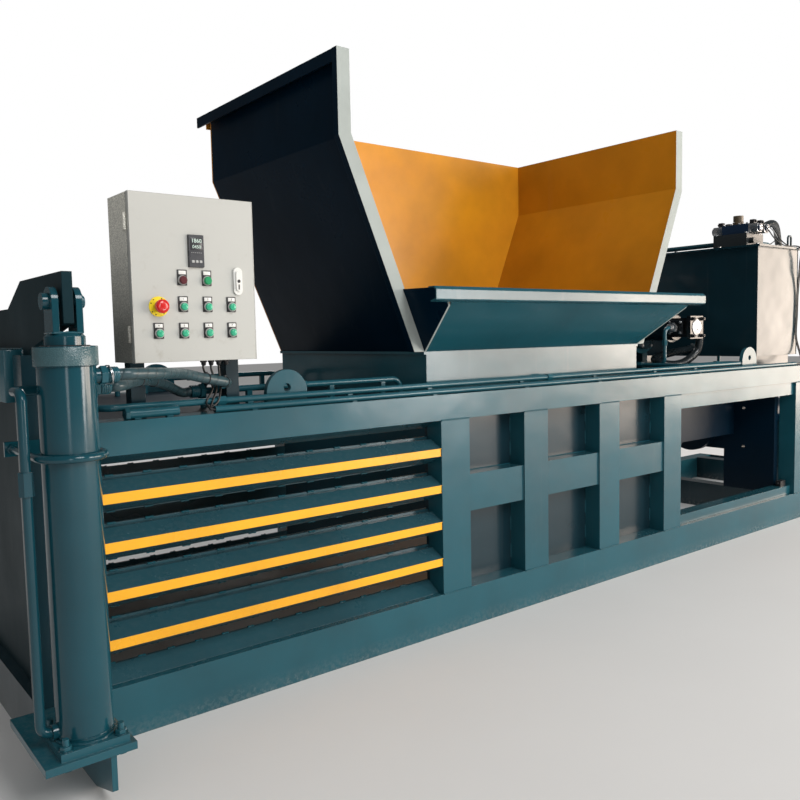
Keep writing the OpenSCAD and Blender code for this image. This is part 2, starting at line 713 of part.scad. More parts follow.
rail_y = near + 24;
rail_pipe_y = rail_y + pipe_d + 6;
conduit_z = frame_h + pipe_d / 2 + weld_gap;
deck_z = conduit_z + pipe_d + 2;
over_z = tank_top + lid_t + 45;
conduit_x = [570, tank_x + 330];
riser_x = tank_x - 45;
tail_x = frame_end + 45;
valve_end = valve_y + 140;

// A conduit for the cables and an oil pipe lie along the side rail, and more pipes cross the deck
module oil_pipes() color(teal) {
    rail_clips = [700, 1100, 1480, 2000, 2500, 2980, 3350];
    deck_clips = [760, 1100, 1340];
    at(0, 0, 0) {
        difference() {
            translate([conduit_x[0], rail_y, conduit_z]) rod_x(pipe_d, conduit_x[1] - conduit_x[0]);
            translate([conduit_x[0] - 1, rail_y, conduit_z]) rod_x(pipe_d - 5,
                conduit_x[1] - conduit_x[0] + 2);
        }
        rail_line();
        pump_line();
        front_line();
    }
    both_sides() at(0, 0, 0) {
        end_1 = hose_1_end + [0, 110, 0];
        pipe_line([hose_1_end, end_1, [end_1[0], end_1[1], pipe_low]]);
        turn_2 = [deck_hole_x, hose_2_end[1], hose_2_end[2]];
        pipe_line([hose_2_end, [1000, turn_2[1], turn_2[2]], turn_2, [turn_2[0], turn_2[1], pipe_low]], [1]);
        for (x = deck_clips) corners([x, turn_2[1] - 8, frame_h], [x + 20, turn_2[1] + 8, turn_2[2]]);
    }
    for (x = rail_clips) {
        box([x, rail_y - 9, frame_h], [x + 20, rail_y + 9, conduit_z - 8.7]);
        box([x, rail_pipe_y - 7, frame_h], [x + 20, rail_pipe_y + 7, deck_z]);
    }
}
// From below the deck along the rail, back round the pump, across the deck and up to the valve
module rail_line() {
    back_x = pump_x + 195;
    back_y = rail_pipe_y + 94;
    cross_x = pump_x - 225;
    far_y = 500;
    valve_in = valve_x + 60;
    pipe_line([[pipe_2_x, pipe_2_y, pipe_low], [pipe_2_x, pipe_2_y, deck_z], [pipe_2_x, rail_pipe_y, deck_z],
        [621, rail_pipe_y, deck_z], [hopper_x, rail_pipe_y, deck_z], [back_x, rail_pipe_y, deck_z],
        [back_x, back_y, deck_z], [back_x - 130, back_y, deck_z], [cross_x, back_y, deck_z],
        [cross_x, -200, deck_z], [cross_x, far_y, deck_z], [cross_x + 150, far_y, deck_z],
        [riser_x, far_y, deck_z], [riser_x, far_y, deck_z + 150], [riser_x, far_y, over_z],
        [riser_x + 120, far_y, over_z], [valve_in, far_y, over_z], [valve_in, valve_end, over_z]],
        [3, 4, 7, 9, 11, 13, 15]);
}
// From the pump across the deck and up to the valve
module pump_line() {
    port_y = pump_y + 90;
    line_x = pump_x - 180;
    far_y = 440;
    valve_in = valve_x + 130;
    pipe_line([[pump_x - pump_port, port_y, pump_z], [line_x, port_y, pump_z], [line_x, port_y, deck_z + 110],
        [line_x, port_y, deck_z], [line_x, -160, deck_z], [line_x, far_y, deck_z],
            [line_x + 150, far_y, deck_z],
        [riser_x, far_y, deck_z], [riser_x, far_y, deck_z + 150], [riser_x, far_y, over_z],
        [riser_x + 120, far_y, over_z], [valve_in, far_y, over_z], [valve_in, valve_end, over_z]],
        [2, 4, 6, 8, 10]);
}
// From the main cylinder's front port back along its barrel and up to the valve
module front_line() {
    valve_in = valve_y - 20;
    pipe_line([[front_port_x, 0, main_z + main_d / 2 + port_h], [front_port_x, 0, front_pipe_z],
        [front_port_x + 100, 0, front_pipe_z], [tail_x, 0, front_pipe_z], [tail_x, 0, front_pipe_z + 150],
        [tail_x, 0, over_z], [tail_x, valve_y + 150, over_z], [tail_x, valve_in, over_z],
        [valve_x + 200, valve_in, over_z]], [2, 4, 6]);
}

// Hoses from a lift cylinder to the pipes on the deck
module lift_hoses() color([0.13, 0.26, 0.30]) both_sides() at(0, 0, 0) {
    hose([hose_1_from, hose_1_from + [fitting_l, 0, 0], hose_1_from + [2 * fitting_l, 0, 0],
        hose_1_from + [190, 58, -5], [420, lift_y + 165, frame_h + 134], [520, lift_y + 240, frame_h + 114],
        [600, hose_1_end[1] - 104, frame_h + 98], hose_1_end - [0, 1.6 * fitting_l, 0],
        hose_1_end - [0, fitting_l, 0], hose_1_end], hose_d);
    hose([hose_2_from, hose_2_from + [fitting_l, 0, 0], hose_2_from + [1.6 * fitting_l, 0, 0],
        [275, lift_y + 162, frame_h + 118], [350, lift_y + 256, frame_h + 115],
            [440, lift_y + 350, frame_h + 94],
        hose_2_end - [1.7 * fitting_l, 0, 0], hose_2_end - [fitting_l, 0, 0], hose_2_end], hose_d);
}

// The thick hose from the valve block to the main cylinder's tail
module main_hose() color(black) at(0, 0, 0) {
    tail = [tail_port_x, 0, main_z + main_d / 2 + port_h];
    hose([main_port, main_port + [70, 0, 0], main_port + [250, 10, 120], main_port + [480, 50, 160],
        main_port + [700, 130, 50], tail + [-70, -120, 810], tail + [0, -20, 500], tail + [0, 0, 260],
        tail + [0, 0, 60], tail], suction_d, 4);
}

// Two cables run from the valve over the tank's lid, down its near face and into the conduit
module control_cables() color(black) at(0, 0, 0) {
    plug_y = valve_y - 140;
    plug_z = tank_top + lid_t + 120;
    tank_end = tank_x + tank_len;
    for (i = [0, 1]) {
        shift = i * 16;
        hose([[valve_x + 58 + i * 85, plug_y, plug_z], [valve_x + 58 + i * 85, plug_y - 30, plug_z],
            [valve_x + 120 + i * 70, plug_y - 55, tank_top + 60],
                [valve_x + 200 + i * 50, plug_y - 72, tank_top + 24],
            [tank_end - 100 + shift, plug_y - 80, tank_top + 20],
                [tank_end - 50 + shift, plug_y - 92, tank_top + 22],
            [tank_end - 34 + shift, -inner - 34, tank_top - 2],
                [tank_end - 30 + shift, -inner - 26, tank_top - 100],
            [tank_end - 20 + shift, -inner - 10, tank_top - 260],
                [tank_end - 22 + shift, -inner - 8, tank_top - 400],
            [tank_end - 30 + shift, -inner - 9, tank_top - 540],
                [tank_end - 24 + shift, -inner - 34, frame_h + 70],
            [tank_end - 70 + shift, rail_y + 5, conduit_z + 9],
                [conduit_x[1] + 40, rail_y - 4 + i * 8, conduit_z],
            [conduit_x[1] - 20, rail_y - 4 + i * 8, conduit_z]], cable_d, 3, 8);
    }
}

module tank() color(dark_teal) {
    difference() {
        box([tank_x, -inner, tank_z], [tank_x + tank_len, inner, tank_top]);
        box([tank_x + tank_t, tank_t - inner, tank_z + tank_t],
            [tank_x + tank_len - tank_t, inner - tank_t, tank_top + 1]);
    }
    for (y = [-inner + 40, inner - 100]) box([tank_x + 20, y, frame_h],
        [tank_x + tank_len - 20, y + 60, tank_z]);
}
module tank_lid() color(dark_teal) {
    box([tank_x - 22, -inner - 22, tank_top], [tank_x + tank_len + 22, inner + 22, tank_top + lid_t]);
    grip = 12;
    at(tank_x + tank_len - 70, -inner + 30, tank_top + lid_t)
        pipe_run([[0, 0, 0], [0, 0, 75], [40, 0, 75], [40, 0, 0]], grip, 14);
}
module valve_block() color(steel) {
    low = tank_top + lid_t;
    box([valve_x, valve_y - 80, low], [valve_x + 200, valve_y + 140, low + 90]);
    for (x = [30, 115]) {
        box([valve_x + x, valve_y - 70, low + 90], [valve_x + x + 56, valve_y + 100, low + 150]);
        at(valve_x + x + 28, valve_y - 140, low + 120) rod_y(48, 71);
        at(valve_x + x + 28, valve_y + 100, low + 120) rod_y(48, 70);
    }
    at(valve_x + 40, valve_y - 110, low + 45) rod_y(34, 30);
    at(valve_x + 100, valve_y + 30, low + 150) cylinder(d = 60, h = 60);
}

module motor() color(teal) {
    length = 500;
    at(pump_x, motor_y, pump_z) {
        rod_y(motor_d, length * 0.78);
        translate([0, length * 0.78, 0]) rod_y(motor_d - 12, length * 0.22);
    }
    box([pump_x - 60, motor_y + 130, pump_z + motor_d / 2 - 12],
        [pump_x + 60, motor_y + 270, pump_z + motor_d / 2 + 50]);
    for (side = [-1, 1]) box([pump_x + side * 110 - 25, motor_y + 60, frame_h],
        [pump_x + side * 110 + 25, motor_y + 340, pump_z - motor_d / 2 + 60]);
}
module bell_housing() color(dark_teal) at(pump_x, pump_y + pump_len, pump_z) {
    rod_y(150, bell_len);
    translate([0, bell_len - 25, 0]) rod_y(250, 25);
    rod_y(170, 18);
}
module pump() color([0.16, 0.18, 0.20]) at(pump_x, pump_y, pump_z) {
    across = 130;
    port_y = 90;
    translate([-across / 2, 0, -across / 2]) cube([across, 24, across]);
    translate([-across * 0.42, 24, -across * 0.42]) cube([across * 0.84, pump_len - 54, across * 0.84]);
    translate([0, pump_len - 30, 0]) rod_y(145, 30);
    translate([0, port_y, 0]) rod_x(suction_d + 12, across / 2 + 12);
    translate([-pump_port, port_y, 0]) rod_x(40, 40);
    for (x = [-1, 1], z = [-1, 1]) translate([x * 48, -10, z * 48]) rod_y(20, 12);
}
module suction_hose() color([0.10, 0.16, 0.17]) at(pump_x, pump_y + 90, frame_h) {
    side = tank_x - pump_x;
    high = pump_z - frame_h;
    low = tank_foot_h + 45;
    hose([[77, 0, high], [120, 0, high], [190, 8, high - 45], [190, 20, 110], [110, 40, 50], [20, 60, 30],
        [-60, 100, 40], [-40, 160, 60], [60, 180, 80], [side - 100, 180, low],
            [side, 180, low]], suction_d, 4);
}

module limit_switch() color(black) {
    low = rail_h + low_guide_h;
    box([rear_post_x - 90, near + 40, low], [rear_post_x - 30, near + 72, low + 34]);
    at(rear_post_x - 105, near + 56, low + 20) rod_x(14, 16);
}

module box_shell() color(shell_grey) {
    difference() {
        box([box_x, shell_y, box_z], [box_x + box_w, near + box_d, box_z + box_h]);
        box([box_x + sheet_t, shell_y - 1, box_z + sheet_t],
            [box_x + box_w - sheet_t, near + box_d - sheet_t, box_z + box_h - sheet_t]);
    }
    for (z = [box_z + 60, box_z + box_h - 110]) {
        at(hinge_x, hinge_y, z) cylinder(d = hinge_d, h = 50);
        box([box_x - 3, shell_y, z], [box_x, shell_y + 30, z + 50]);
    }
}
module box_stand() color(dark_teal) for (x = [box_x + 20, box_x + box_w - stand_w - 16]) {
    up_z(frame_h, box_z) rect_ring([x, near + side_t], [x + stand_w, near + side_t + stand_w], 3);
}

// Controls sit on the door by their distance from its lower left corner
module on_door(spot, y = 0) at(box_x + spot[0], near + y, box_z + spot[1]) children();

module box_door() color(door_grey) difference() {
    box([box_x, near, box_z], [box_x + box_w, near + door_t, box_z + box_h]);
    box([box_x + sheet_t, near + sheet_t, box_z + sheet_t],
        [box_x + box_w - sheet_t, near + door_t + 1, box_z + box_h - sheet_t]);
    for (spot = concat(lamp_at, button_at, [stop_at])) on_door(spot, -1) rod_y(hole_d, sheet_t + 2);
    on_door(meter_at, -1) cube_xz([meter_w - 3, sheet_t + 2, meter_h - 4]);
}
module instrument() color(black) {
    on_door(meter_at, -9) cube_xz([meter_w, 9, meter_h]);
    on_door(meter_at) cube_xz([meter_w - 4, 60, meter_h - 6]);
}
module pilot_lamps() color(green) for (spot = lamp_at) on_door(spot) {
    translate([0, -holder_t - 10, 0]) rod_y(25, 10);
    translate([0, -holder_t - 14, 0]) rod_y(20, 4);
    translate([0, -holder_t, 0]) rod_y(key_d, 40);
    translate([0, 16, 0]) cube_xz([28, 34, 38]);
}
module holder_plate() translate([-15, -holder_t, -15]) cube([30, holder_t, 46]);

// Each holder is clamped by the body of its button, with a nut and a contact block behind the door
module label_holders() color(black) {
    for (spot = lamp_at) on_door(spot) difference() {
        holder_plate();
        translate([0, -holder_t - 1, 0]) rod_y(hole_d, holder_t + 2);
    }
    for (spot = button_at) on_door(spot) difference() {
        union() {
            holder_plate();
            translate([0, -holder_t - bezel_h, 0]) rod_y(bezel_d, bezel_h);
            translate([0, -holder_t, 0]) rod_y(key_d, 20);
            translate([0, sheet_t, 0]) rod_y(bezel_d, 6);
            translate([0, 16, 0]) cube_xz([28, 34, 38]);
        }
        translate([0, -holder_t - bezel_h - 1, 0]) rod_y(hole_d, bezel_h + 1);
        translate([0, -holder_t - 1, 0]) rod_y(plunger_d + 2 * run_gap, 40);
    }
}
module stop_ring() color(yellow) on_door(stop_at) difference() {
    union() {
        translate([0, -holder_t, 0]) rod_y(60, holder_t);
        translate([0, -holder_t - bezel_h - 4, 0]) rod_y(bezel_d + 3, bezel_h + 4);
        translate([0, -holder_t, 0]) rod_y(key_d, 20);
        translate([0, sheet_t, 0]) rod_y(bezel_d, 6);
        translate([0, 16, 0]) cube_xz([28, 50, 38]);
    }
    translate([0, -holder_t - bezel_h - 5, 0]) rod_y(plunger_d + 2 + 2 * run_gap, 48);
}
module stop_button() color("red") on_door(stop_at) {
    translate([0, -holder_t - 32, 0]) rod_y(stop_d, 14);
    translate([0, -holder_t - 35, 0]) rod_y(stop_d - 8, 3);
    translate([0, -holder_t - 18, 0]) rod_y(plunger_d + 2, 46);
}
module button(i) color(green) on_door(button_at[i - 1], -holder_t - bezel_h - key_travel - 2) {
    rod_y(key_d, key_travel + 2 + bezel_h - key_travel - 0.3);
    rod_y(plunger_d, 34);
}

module lock_case() color([0.85, 0.85, 0.83]) on_door(lock_at) difference() {
    rotate([90, 0, 0]) linear_extrude(lock_t) slot_2d(30, 86);
    translate([0, -lock_t - 1, 0]) rod_y(lock_pin_d + 2 * run_gap, lock_t + 2);
}
module lock_lever() color([0.88, 0.88, 0.86]) on_door(lock_at, -lock_t - weld_gap) {
    rotate([90, 0, 0]) linear_extrude(5) slot_2d(17, 62);
    rod_y(lock_pin_d, lock_t);
}

// One plate is the gate and its two lifting arms
module gate_plate() color(dark_teal) {
    edge = near + guide_t + 3;
    arm_end = lift_y - 42;
    along_x(gate_x, gate_back) difference() {
        polygon([[edge, rail_h], [edge, guide_top + 15], [arm_end, 1229], [arm_end, arm_top],
            [near + 97, arm_top],
            [near + 252, gate_top], [-near - 252, gate_top], [-near - 97, arm_top], [-arm_end, arm_top],
                [-arm_end, 1229],
            [-edge, guide_top + 15], [-edge, rail_h]]);
        for (side = [-1, 1]) translate([side * lift_y, pin_z]) circle(d = pin_d + 2 * weld_gap);
    }
    for (z = [260, 480, 700, 920]) box([gate_x - gate_rib_d, 40 - inner, z], [gate_x, inner - 40, z + 70]);
}

module lift_rods() color(steel) both_sides() at(lift_x, lift_y, 0) {
    piston_top = foot_top + 70;
    translate([0, 0, piston_top - 50]) cylinder(d = lift_bore - 2 * run_gap, h = 50);
    translate([0, 0, piston_top - 50]) cylinder(d = lift_rod_d, h = lift_top + 51 - piston_top);
    translate([0, 0, piston_top - 1]) cylinder(d = lift_rod_d + 16,
        h = lift_top - lift_cap_h - piston_top - gate_lift - 2);
}
module lift_forks() color(teal) both_sides() at(lift_x, lift_y, 0) {
    neck_h = 31;
    base_z = lift_top + 1 + neck_h;
    gap_z = base_z + 3;
    translate([0, 0, lift_top + 1]) cylinder(d = neck_d, h = neck_h - 8);
    translate([0, 0, base_z - 8]) cylinder(d1 = neck_d, d2 = neck_d - 16, h = 8, $fn = 48);
    difference() {
        union() {
            translate([-fork_w / 2, -ear_w / 2, base_z]) cube([fork_w, ear_w, pin_z - base_z]);
            translate([-fork_w / 2, 0, pin_z]) rod_x(ear_w, fork_w);
        }
        translate([-fork_gap / 2, -ear_w, gap_z]) cube([fork_gap, 2 * ear_w, 200]);
        translate([-fork_w, 0, pin_z]) rod_x(pin_d + 2 * run_gap, 2 * fork_w);
    }
}
module fork_pins() color(steel) both_sides() at(lift_x, lift_y, pin_z) {
    translate([-fork_w / 2 - 12, 0, 0]) rod_x(pin_d, fork_w + 24);
    translate([-fork_w / 2 - 16, 0, 0]) rod_x(pin_d + 12, 16 - weld_gap);
}

// The ram's face has a groove across it for each wire of the bale
module ram_face() color(steel) difference() {
    box([ram_x, -ram_half, ram_low], [ram_x + platen_t, ram_half, ram_top]);
    for (i = [0:slat_count]) {
        z = slat_top_z + slat_pitch / 2 - i * slat_pitch;
        box([ram_x - 1, -ram_half - 1, z - 14], [ram_x + platen_t * 0.6, ram_half + 1, z + 14]);
    }
}
module ram_body() color(dark_teal) {
    x0 = ram_x + platen_t;
    box([x0, -ram_half, ram_top - 12], [x0 + ram_len, ram_half, ram_top]);
    for (side = [-1, 1]) across_y(side * 300 - 6, side * 300 + 6) polygon([[x0, ram_low], [x0 + 420, ram_low],
        [x0 + 760, main_z - 40], [x0 + ram_len, main_z - 40], [x0 + ram_len, ram_top - 12],
            [x0, ram_top - 12]]);
    difference() {
        box([x0 + 250, -294, ram_low], [x0 + 265, 294, ram_top - 12]);
        at(x0 + 240, 0, main_z) rod_x(main_rod_d + 40, 40);
    }
}
module main_rod() color(steel) {
    x0 = ram_x + platen_t;
    piston_x = barrel_x + barrel_end_t + ram_stroke + 10;
    at(x0, 0, main_z) rod_x(main_rod_d, piston_x - x0);
    at(piston_x, 0, main_z) rod_x(main_bore - 2 * run_gap, piston_l);
    at(x0, 0, main_z) rod_x(main_rod_d + 90, 30);
}

base_rails();
cross_members();
floor_plate();
top_rails();
side_posts();
side_ribs();
chamber_walls();
ram_guides();
deck_plates();
side_slats();
gate_guides();
cross_plate();
main_barrel();
lift_barrels();
lift_brackets();
foot_bolts();
lift_hoops();
lift_tubes();
hopper_gate_wall();
hopper_rear_wall();
hopper_far_wall();
hopper_lip();
hopper_collar();
lifting_lugs();
oil_pipes();
lift_hoses();
main_hose();
control_cables();
tank();
tank_lid();
valve_block();
motor();
bell_housing();
pump();
suction_hose();
limit_switch();
box_shell();
box_stand();
box_door();
instrument();
pilot_lamps();
label_holders();
stop_ring();
lock_case();
lock_lever();
stop_button();
button(1);  // button_1
button(2);  // button_2
button(3);  // button_3
button(4);  // button_4
button(5);  // button_5
button(6);  // button_6
button(7);  // button_7
gate_plate();
lift_rods();
lift_forks();
fork_pins();
ram_face();
ram_body();
main_rod();
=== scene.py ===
# Dresses the recycling baler's CAD frame with paint, welds, hoses and controls, in a plain studio
import math

import bmesh
import bpy
from mathutils import Matrix, Vector
from mathutils.noise import noise as valueNoise


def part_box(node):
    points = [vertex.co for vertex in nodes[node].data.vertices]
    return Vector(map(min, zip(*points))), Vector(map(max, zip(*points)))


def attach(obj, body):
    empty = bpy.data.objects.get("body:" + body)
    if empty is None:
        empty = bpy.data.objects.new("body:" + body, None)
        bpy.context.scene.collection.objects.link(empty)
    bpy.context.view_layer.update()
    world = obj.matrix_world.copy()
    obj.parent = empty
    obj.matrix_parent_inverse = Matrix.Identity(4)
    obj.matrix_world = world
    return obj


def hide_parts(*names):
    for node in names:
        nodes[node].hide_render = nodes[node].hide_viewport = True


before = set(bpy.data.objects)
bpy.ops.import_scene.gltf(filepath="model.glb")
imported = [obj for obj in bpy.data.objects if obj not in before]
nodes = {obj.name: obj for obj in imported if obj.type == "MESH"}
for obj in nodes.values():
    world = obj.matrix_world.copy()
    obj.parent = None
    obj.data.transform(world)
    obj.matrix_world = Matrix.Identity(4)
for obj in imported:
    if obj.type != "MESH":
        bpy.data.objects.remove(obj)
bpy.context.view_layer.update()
print("frame loaded:", len(nodes), "nodes")

railStart = 0.01  # metres from the gate end to the base rails
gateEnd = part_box("base_rails")[0].x - railStart


def place(x, y, z):  # millimetres from the gate end, the middle and the floor
    return Vector((gateEnd + x / 1000, y / 1000, z / 1000))


# Materials: small helpers first


def newMaterial(name, metallic=0.0, roughness=0.4, coat=0.0, specular=0.5):
    material = bpy.data.materials.new(name)
    material.use_nodes = True
    tree = material.node_tree
    shader = tree.nodes["Principled BSDF"]
    values = {"Metallic": metallic, "Roughness": roughness, "Coat Weight": coat, "Coat Roughness": 0.12,
              "Specular IOR Level": specular}
    for key, value in values.items():
        shader.inputs[key].default_value = value
    point = add(tree, "TexCoord").outputs["Object"]  # a point's place at rest, whatever the pose
    return material, tree, shader, point


def feed(tree, socket, value):  # the value is another node's output, a number or a colour
    if hasattr(value, "is_output"):
        tree.links.new(value, socket)
    elif socket.type == "RGBA" and len(value) == 3:
        socket.default_value = (*value, 1)
    else:
        socket.default_value = value


def add(tree, kind, **settings):  # keys are the node's sockets, with _ for a space, or its own settings
    made = tree.nodes.new("ShaderNode" + kind)
    for name, value in settings.items():
        key = name.replace("_", " ")
        if key in made.inputs:
            feed(tree, made.inputs[key], value)
        else:
            setattr(made, name, value)
    return made


def maths(tree, what, a, b=0.0):
    made = add(tree, "Math", operation=what)
    for socket, value in zip(made.inputs, (a, b)):
        feed(tree, socket, value)
    return made.outputs[0]


def times(tree, a, b):
    return maths(tree, "MULTIPLY", a, b)


def mixed(tree, share, a, b):
    made = add(tree, "Mix", data_type="RGBA")
    for i, value in ((0, share), (6, a), (7, b)):  # the Mix node's sockets for colours
        feed(tree, made.inputs[i], value)
    return made.outputs[2]


def scaled(colour, share):
    return [c * share for c in colour]


def ramp(tree, value, low, high, lowTo=0.0, highTo=1.0):
    ends = {"From_Min": low, "From_Max": high, "To_Min": lowTo, "To_Max": highTo}
    return add(tree, "MapRange", Value=value, **ends).outputs[0]


def axes(tree, vector):
    return add(tree, "SeparateXYZ", Vector=vector).outputs


def speckle(tree, point, scale, detail=4.0, roughness=0.55):
    # Scale is one number, or three that stretch the pattern
    if isinstance(scale, tuple):
        point = add(tree, "Mapping", Vector=point, Scale=scale).outputs[0]
        scale = 1.0
    return add(tree, "TexNoise", Vector=point, Scale=scale, Detail=detail, Roughness=roughness).outputs["Fac"]


def bumpOf(tree, height, distance, strength=1.0, under=None):
    made = add(tree, "Bump", Height=height, Distance=distance, Strength=strength)
    if under is not None:
        tree.links.new(under, made.inputs["Normal"])
    return made.outputs[0]


def roundedEdges(tree, radius):
    return add(tree, "Bevel", Radius=radius, samples=3).outputs[0]


def flatFace(tree, axis, least):  # 1 on faces that look along an axis, by their share of it
    normal = axes(tree, add(tree, "TexCoord").outputs["Normal"])
    if axis.startswith("-"):
        return maths(tree, "LESS_THAN", normal["XYZ".index(axis[1])], -least)
    return maths(tree, "GREATER_THAN", normal["XYZ".index(axis)], least)


def within(tree, value, low, high):
    return times(tree, maths(tree, "GREATER_THAN", value, low), maths(tree, "LESS_THAN", value, high))


def wire(tree, shader, **links):  # keys are the shader's sockets with _ for a space
    for name, value in links.items():
        tree.links.new(value, shader.inputs[name.replace("_", " ")])


paint = {
    "teal": (0.0125, 0.087, 0.116),
    # painted shade: the teal paint darkened for faces in shade, the hopper's outsides, deck, cross plate,
    # main barrel and ram
    "shadeNavy": (0.0007, 0.0115, 0.0255),
    # painted shade: a darker copy of the teal paint for the tank, chamber walls, cross members, gate guides,
    # box stand and bell housing
    "shadeNavySteel": (0.0085, 0.031, 0.043),
    # painted shade: a darker copy of the teal paint for the gate plate, which stands in shadow
    "gate": (0.005, 0.024, 0.032),
    # painted shade: a darker copy of the teal paint for the lift cylinders, hoops, forks, pins and their
    # welds
    "lift": (0.006, 0.058, 0.080),
    "hammeredTeal": (0.050, 0.110, 0.125),
    "slat": (0.020, 0.074, 0.096),
    "yellow": (0.97, 0.45, 0.010),
    "orange": (0.86, 0.37, 0.016),
    "orangeDeep": (0.70, 0.27, 0.014),
    "orangeScuff": (0.30, 0.13, 0.02),
    "flange": (0.40, 0.44, 0.42),
    "pump": (0.010, 0.012, 0.014),
    "brown": (0.10, 0.07, 0.04),
    "dust": (0.30, 0.29, 0.26),
    "chip": (0.13, 0.15, 0.15),
}
enamel = {
    "roughness": 0.20,
    "edge": 0.0022,
    "cloudScale": 2.2,
    "cloudShade": 0.75,
    "gritScale": 60.0,
    "streakScale": (20.0, 20.0, 1.2),
    "streakShare": 0.05,
    "dustOnTop": 0.10,
    "dustAtFloor": 0.22,
    "dustHeight": 0.06,
    "chipScale": 33.0,
    "chipShare": 0.6,
    "swayScale": (2.2, 2.2, 3.2),
    "waveScale": 16.0,
    "waveDepth": 0.0008,
    "grainScale": 170.0,
    "grainDepth": 0.00010,
}


def enamelFinish(tree, shader, colour, point, wear=1.0, roughness=None, sway=0.010):
    # Brushed-on gloss enamel: faint clouds and streaks, dust on top and by the floor, chips, soft waves
    facing = axes(tree, add(tree, "TexCoord").outputs["Normal"])["Z"]
    clouds = speckle(tree, point, enamel["cloudScale"], 5.0)
    grit = speckle(tree, point, enamel["gritScale"], 3.0, 0.7)
    streaks = ramp(tree, speckle(tree, point, enamel["streakScale"]), 0.62, 0.82)
    darker = mixed(tree, enamel["cloudShade"], (0, 0, 0), colour)
    shade = mixed(tree, ramp(tree, clouds, 0.40, 0.70), colour, darker)
    shade = mixed(tree, times(tree, streaks, enamel["streakShare"] * wear), shade, paint["dust"])
    gritty = ramp(tree, grit, 0.42, 0.75, 0.0, enamel["dustOnTop"])
    onTop = times(tree, ramp(tree, facing, 0.70, 0.95), gritty)
    lowness = ramp(tree, axes(tree, point)["Z"], enamel["dustHeight"], 0.0, 0.0, enamel["dustAtFloor"])
    atFloor = times(tree, lowness, ramp(tree, grit, 0.4, 0.7))
    dusty = times(tree, maths(tree, "ADD", onTop, atFloor), wear)
    shade = mixed(tree, dusty, shade, paint["dust"])
    chips = ramp(tree, speckle(tree, point, enamel["chipScale"], 6.0, 0.62), 0.775, 0.785)
    shade = mixed(tree, times(tree, chips, enamel["chipShare"] * wear), shade, paint["chip"])
    base = enamel["roughness"] if roughness is None else roughness
    spread = ramp(tree, clouds, 0.3, 0.7, base - 0.05, base + 0.07)
    rough = maths(tree, "ADD", spread, times(tree, dusty, 0.5))
    rounded = roundedEdges(tree, enamel["edge"])
    swayed = bumpOf(tree, speckle(tree, point, enamel["swayScale"], 2.0), sway, 0.5, rounded)
    waves = bumpOf(tree, speckle(tree, point, enamel["waveScale"], 2.0), enamel["waveDepth"], 0.5, swayed)
    grain = bumpOf(tree, speckle(tree, point, enamel["grainScale"], 2.0), enamel["grainDepth"], 0.6, waves)
    wire(tree, shader, Base_Color=shade, Roughness=rough, Normal=grain)


def makeEnamel(name, colour, wear=1.0, roughness=None, specular=0.42, coat=0.12, sway=0.010):
    material, tree, shader, point = newMaterial(name, coat=coat, specular=specular)
    enamelFinish(tree, shader, colour, point, wear, roughness, sway)
    return material


def makeSlatPaint():
    # Teal slats whose near and far faces carry a yellow band each, in metres
    slat = {"topZ": 0.726, "pitch": 0.145, "count": 4, "halfFace": 0.0155, "face": 0.6485}
    material, tree, shader, point = newMaterial("yellowFacedSlats", coat=0.2)
    coords = axes(tree, point)
    front = maths(tree, "GREATER_THAN", maths(tree, "ABSOLUTE", coords["Y"]), slat["face"])
    bands = None
    for i in range(slat["count"]):
        middle = slat["topZ"] - i * slat["pitch"]
        band = within(tree, coords["Z"], middle - slat["halfFace"], middle + slat["halfFace"])
        bands = maths(tree, "ADD", bands, band) if bands else band
    colour = mixed(tree, times(tree, front, bands), paint["slat"], paint["yellow"])
    enamelFinish(tree, shader, colour, point, 0.6, 0.26)
    return material


def orangeCoat(tree, point, depth=1.0):
    coat = {"patchScale": (1.2, 1.2, 3.0), "scuffScale": (7.0, 7.0, 2.0), "scuffShare": 0.14}
    patches = speckle(tree, point, coat["patchScale"], 3.0)
    # depth below 1 darkens the orange as painted shade
    orange = mixed(tree, patches, scaled(paint["orangeDeep"], depth), scaled(paint["orange"], depth))
    scuffs = ramp(tree, speckle(tree, point, coat["scuffScale"], 6.0, 0.7), 0.62, 0.80)
    return mixed(tree, times(tree, scuffs, coat["scuffShare"]), orange, paint["orangeScuff"])


def makeHopperPaint(name, inward, depth):
    # The hopper's end walls are orange inside, pale on the near flange and dark outside, where the dark is
    # painted shade; depth below 1 darkens the orange as painted shade
    wall = {"insideAbove": 1.10, "rimLow": 2.2095, "flangeY": -0.5}
    material, tree, shader, point = newMaterial(name, specular=0.06)
    coords = axes(tree, point)
    height = within(tree, coords["Z"], wall["insideAbove"], wall["rimLow"])
    inside = times(tree, flatFace(tree, inward, 0.5), height)
    flange = times(tree, flatFace(tree, "-Y", 0.6), maths(tree, "LESS_THAN", coords["Y"], wall["flangeY"]))
    colour = mixed(tree, inside, paint["shadeNavy"], orangeCoat(tree, point, depth))
    colour = mixed(tree, flange, colour, paint["flange"])
    enamelFinish(tree, shader, colour, point, 0.6, 0.30)
    return material


def makeFarWallPaint():
    material, tree, shader, point = newMaterial("orangeHopperBack", coat=0.1, specular=0.4)
    # painted shade: faces that don't look into the hopper get the dark navy shade colour
    colour = mixed(tree, flatFace(tree, "Y", 0.6), orangeCoat(tree, point), paint["shadeNavy"])
    enamelFinish(tree, shader, colour, point, 0.6, 0.32)
    return material


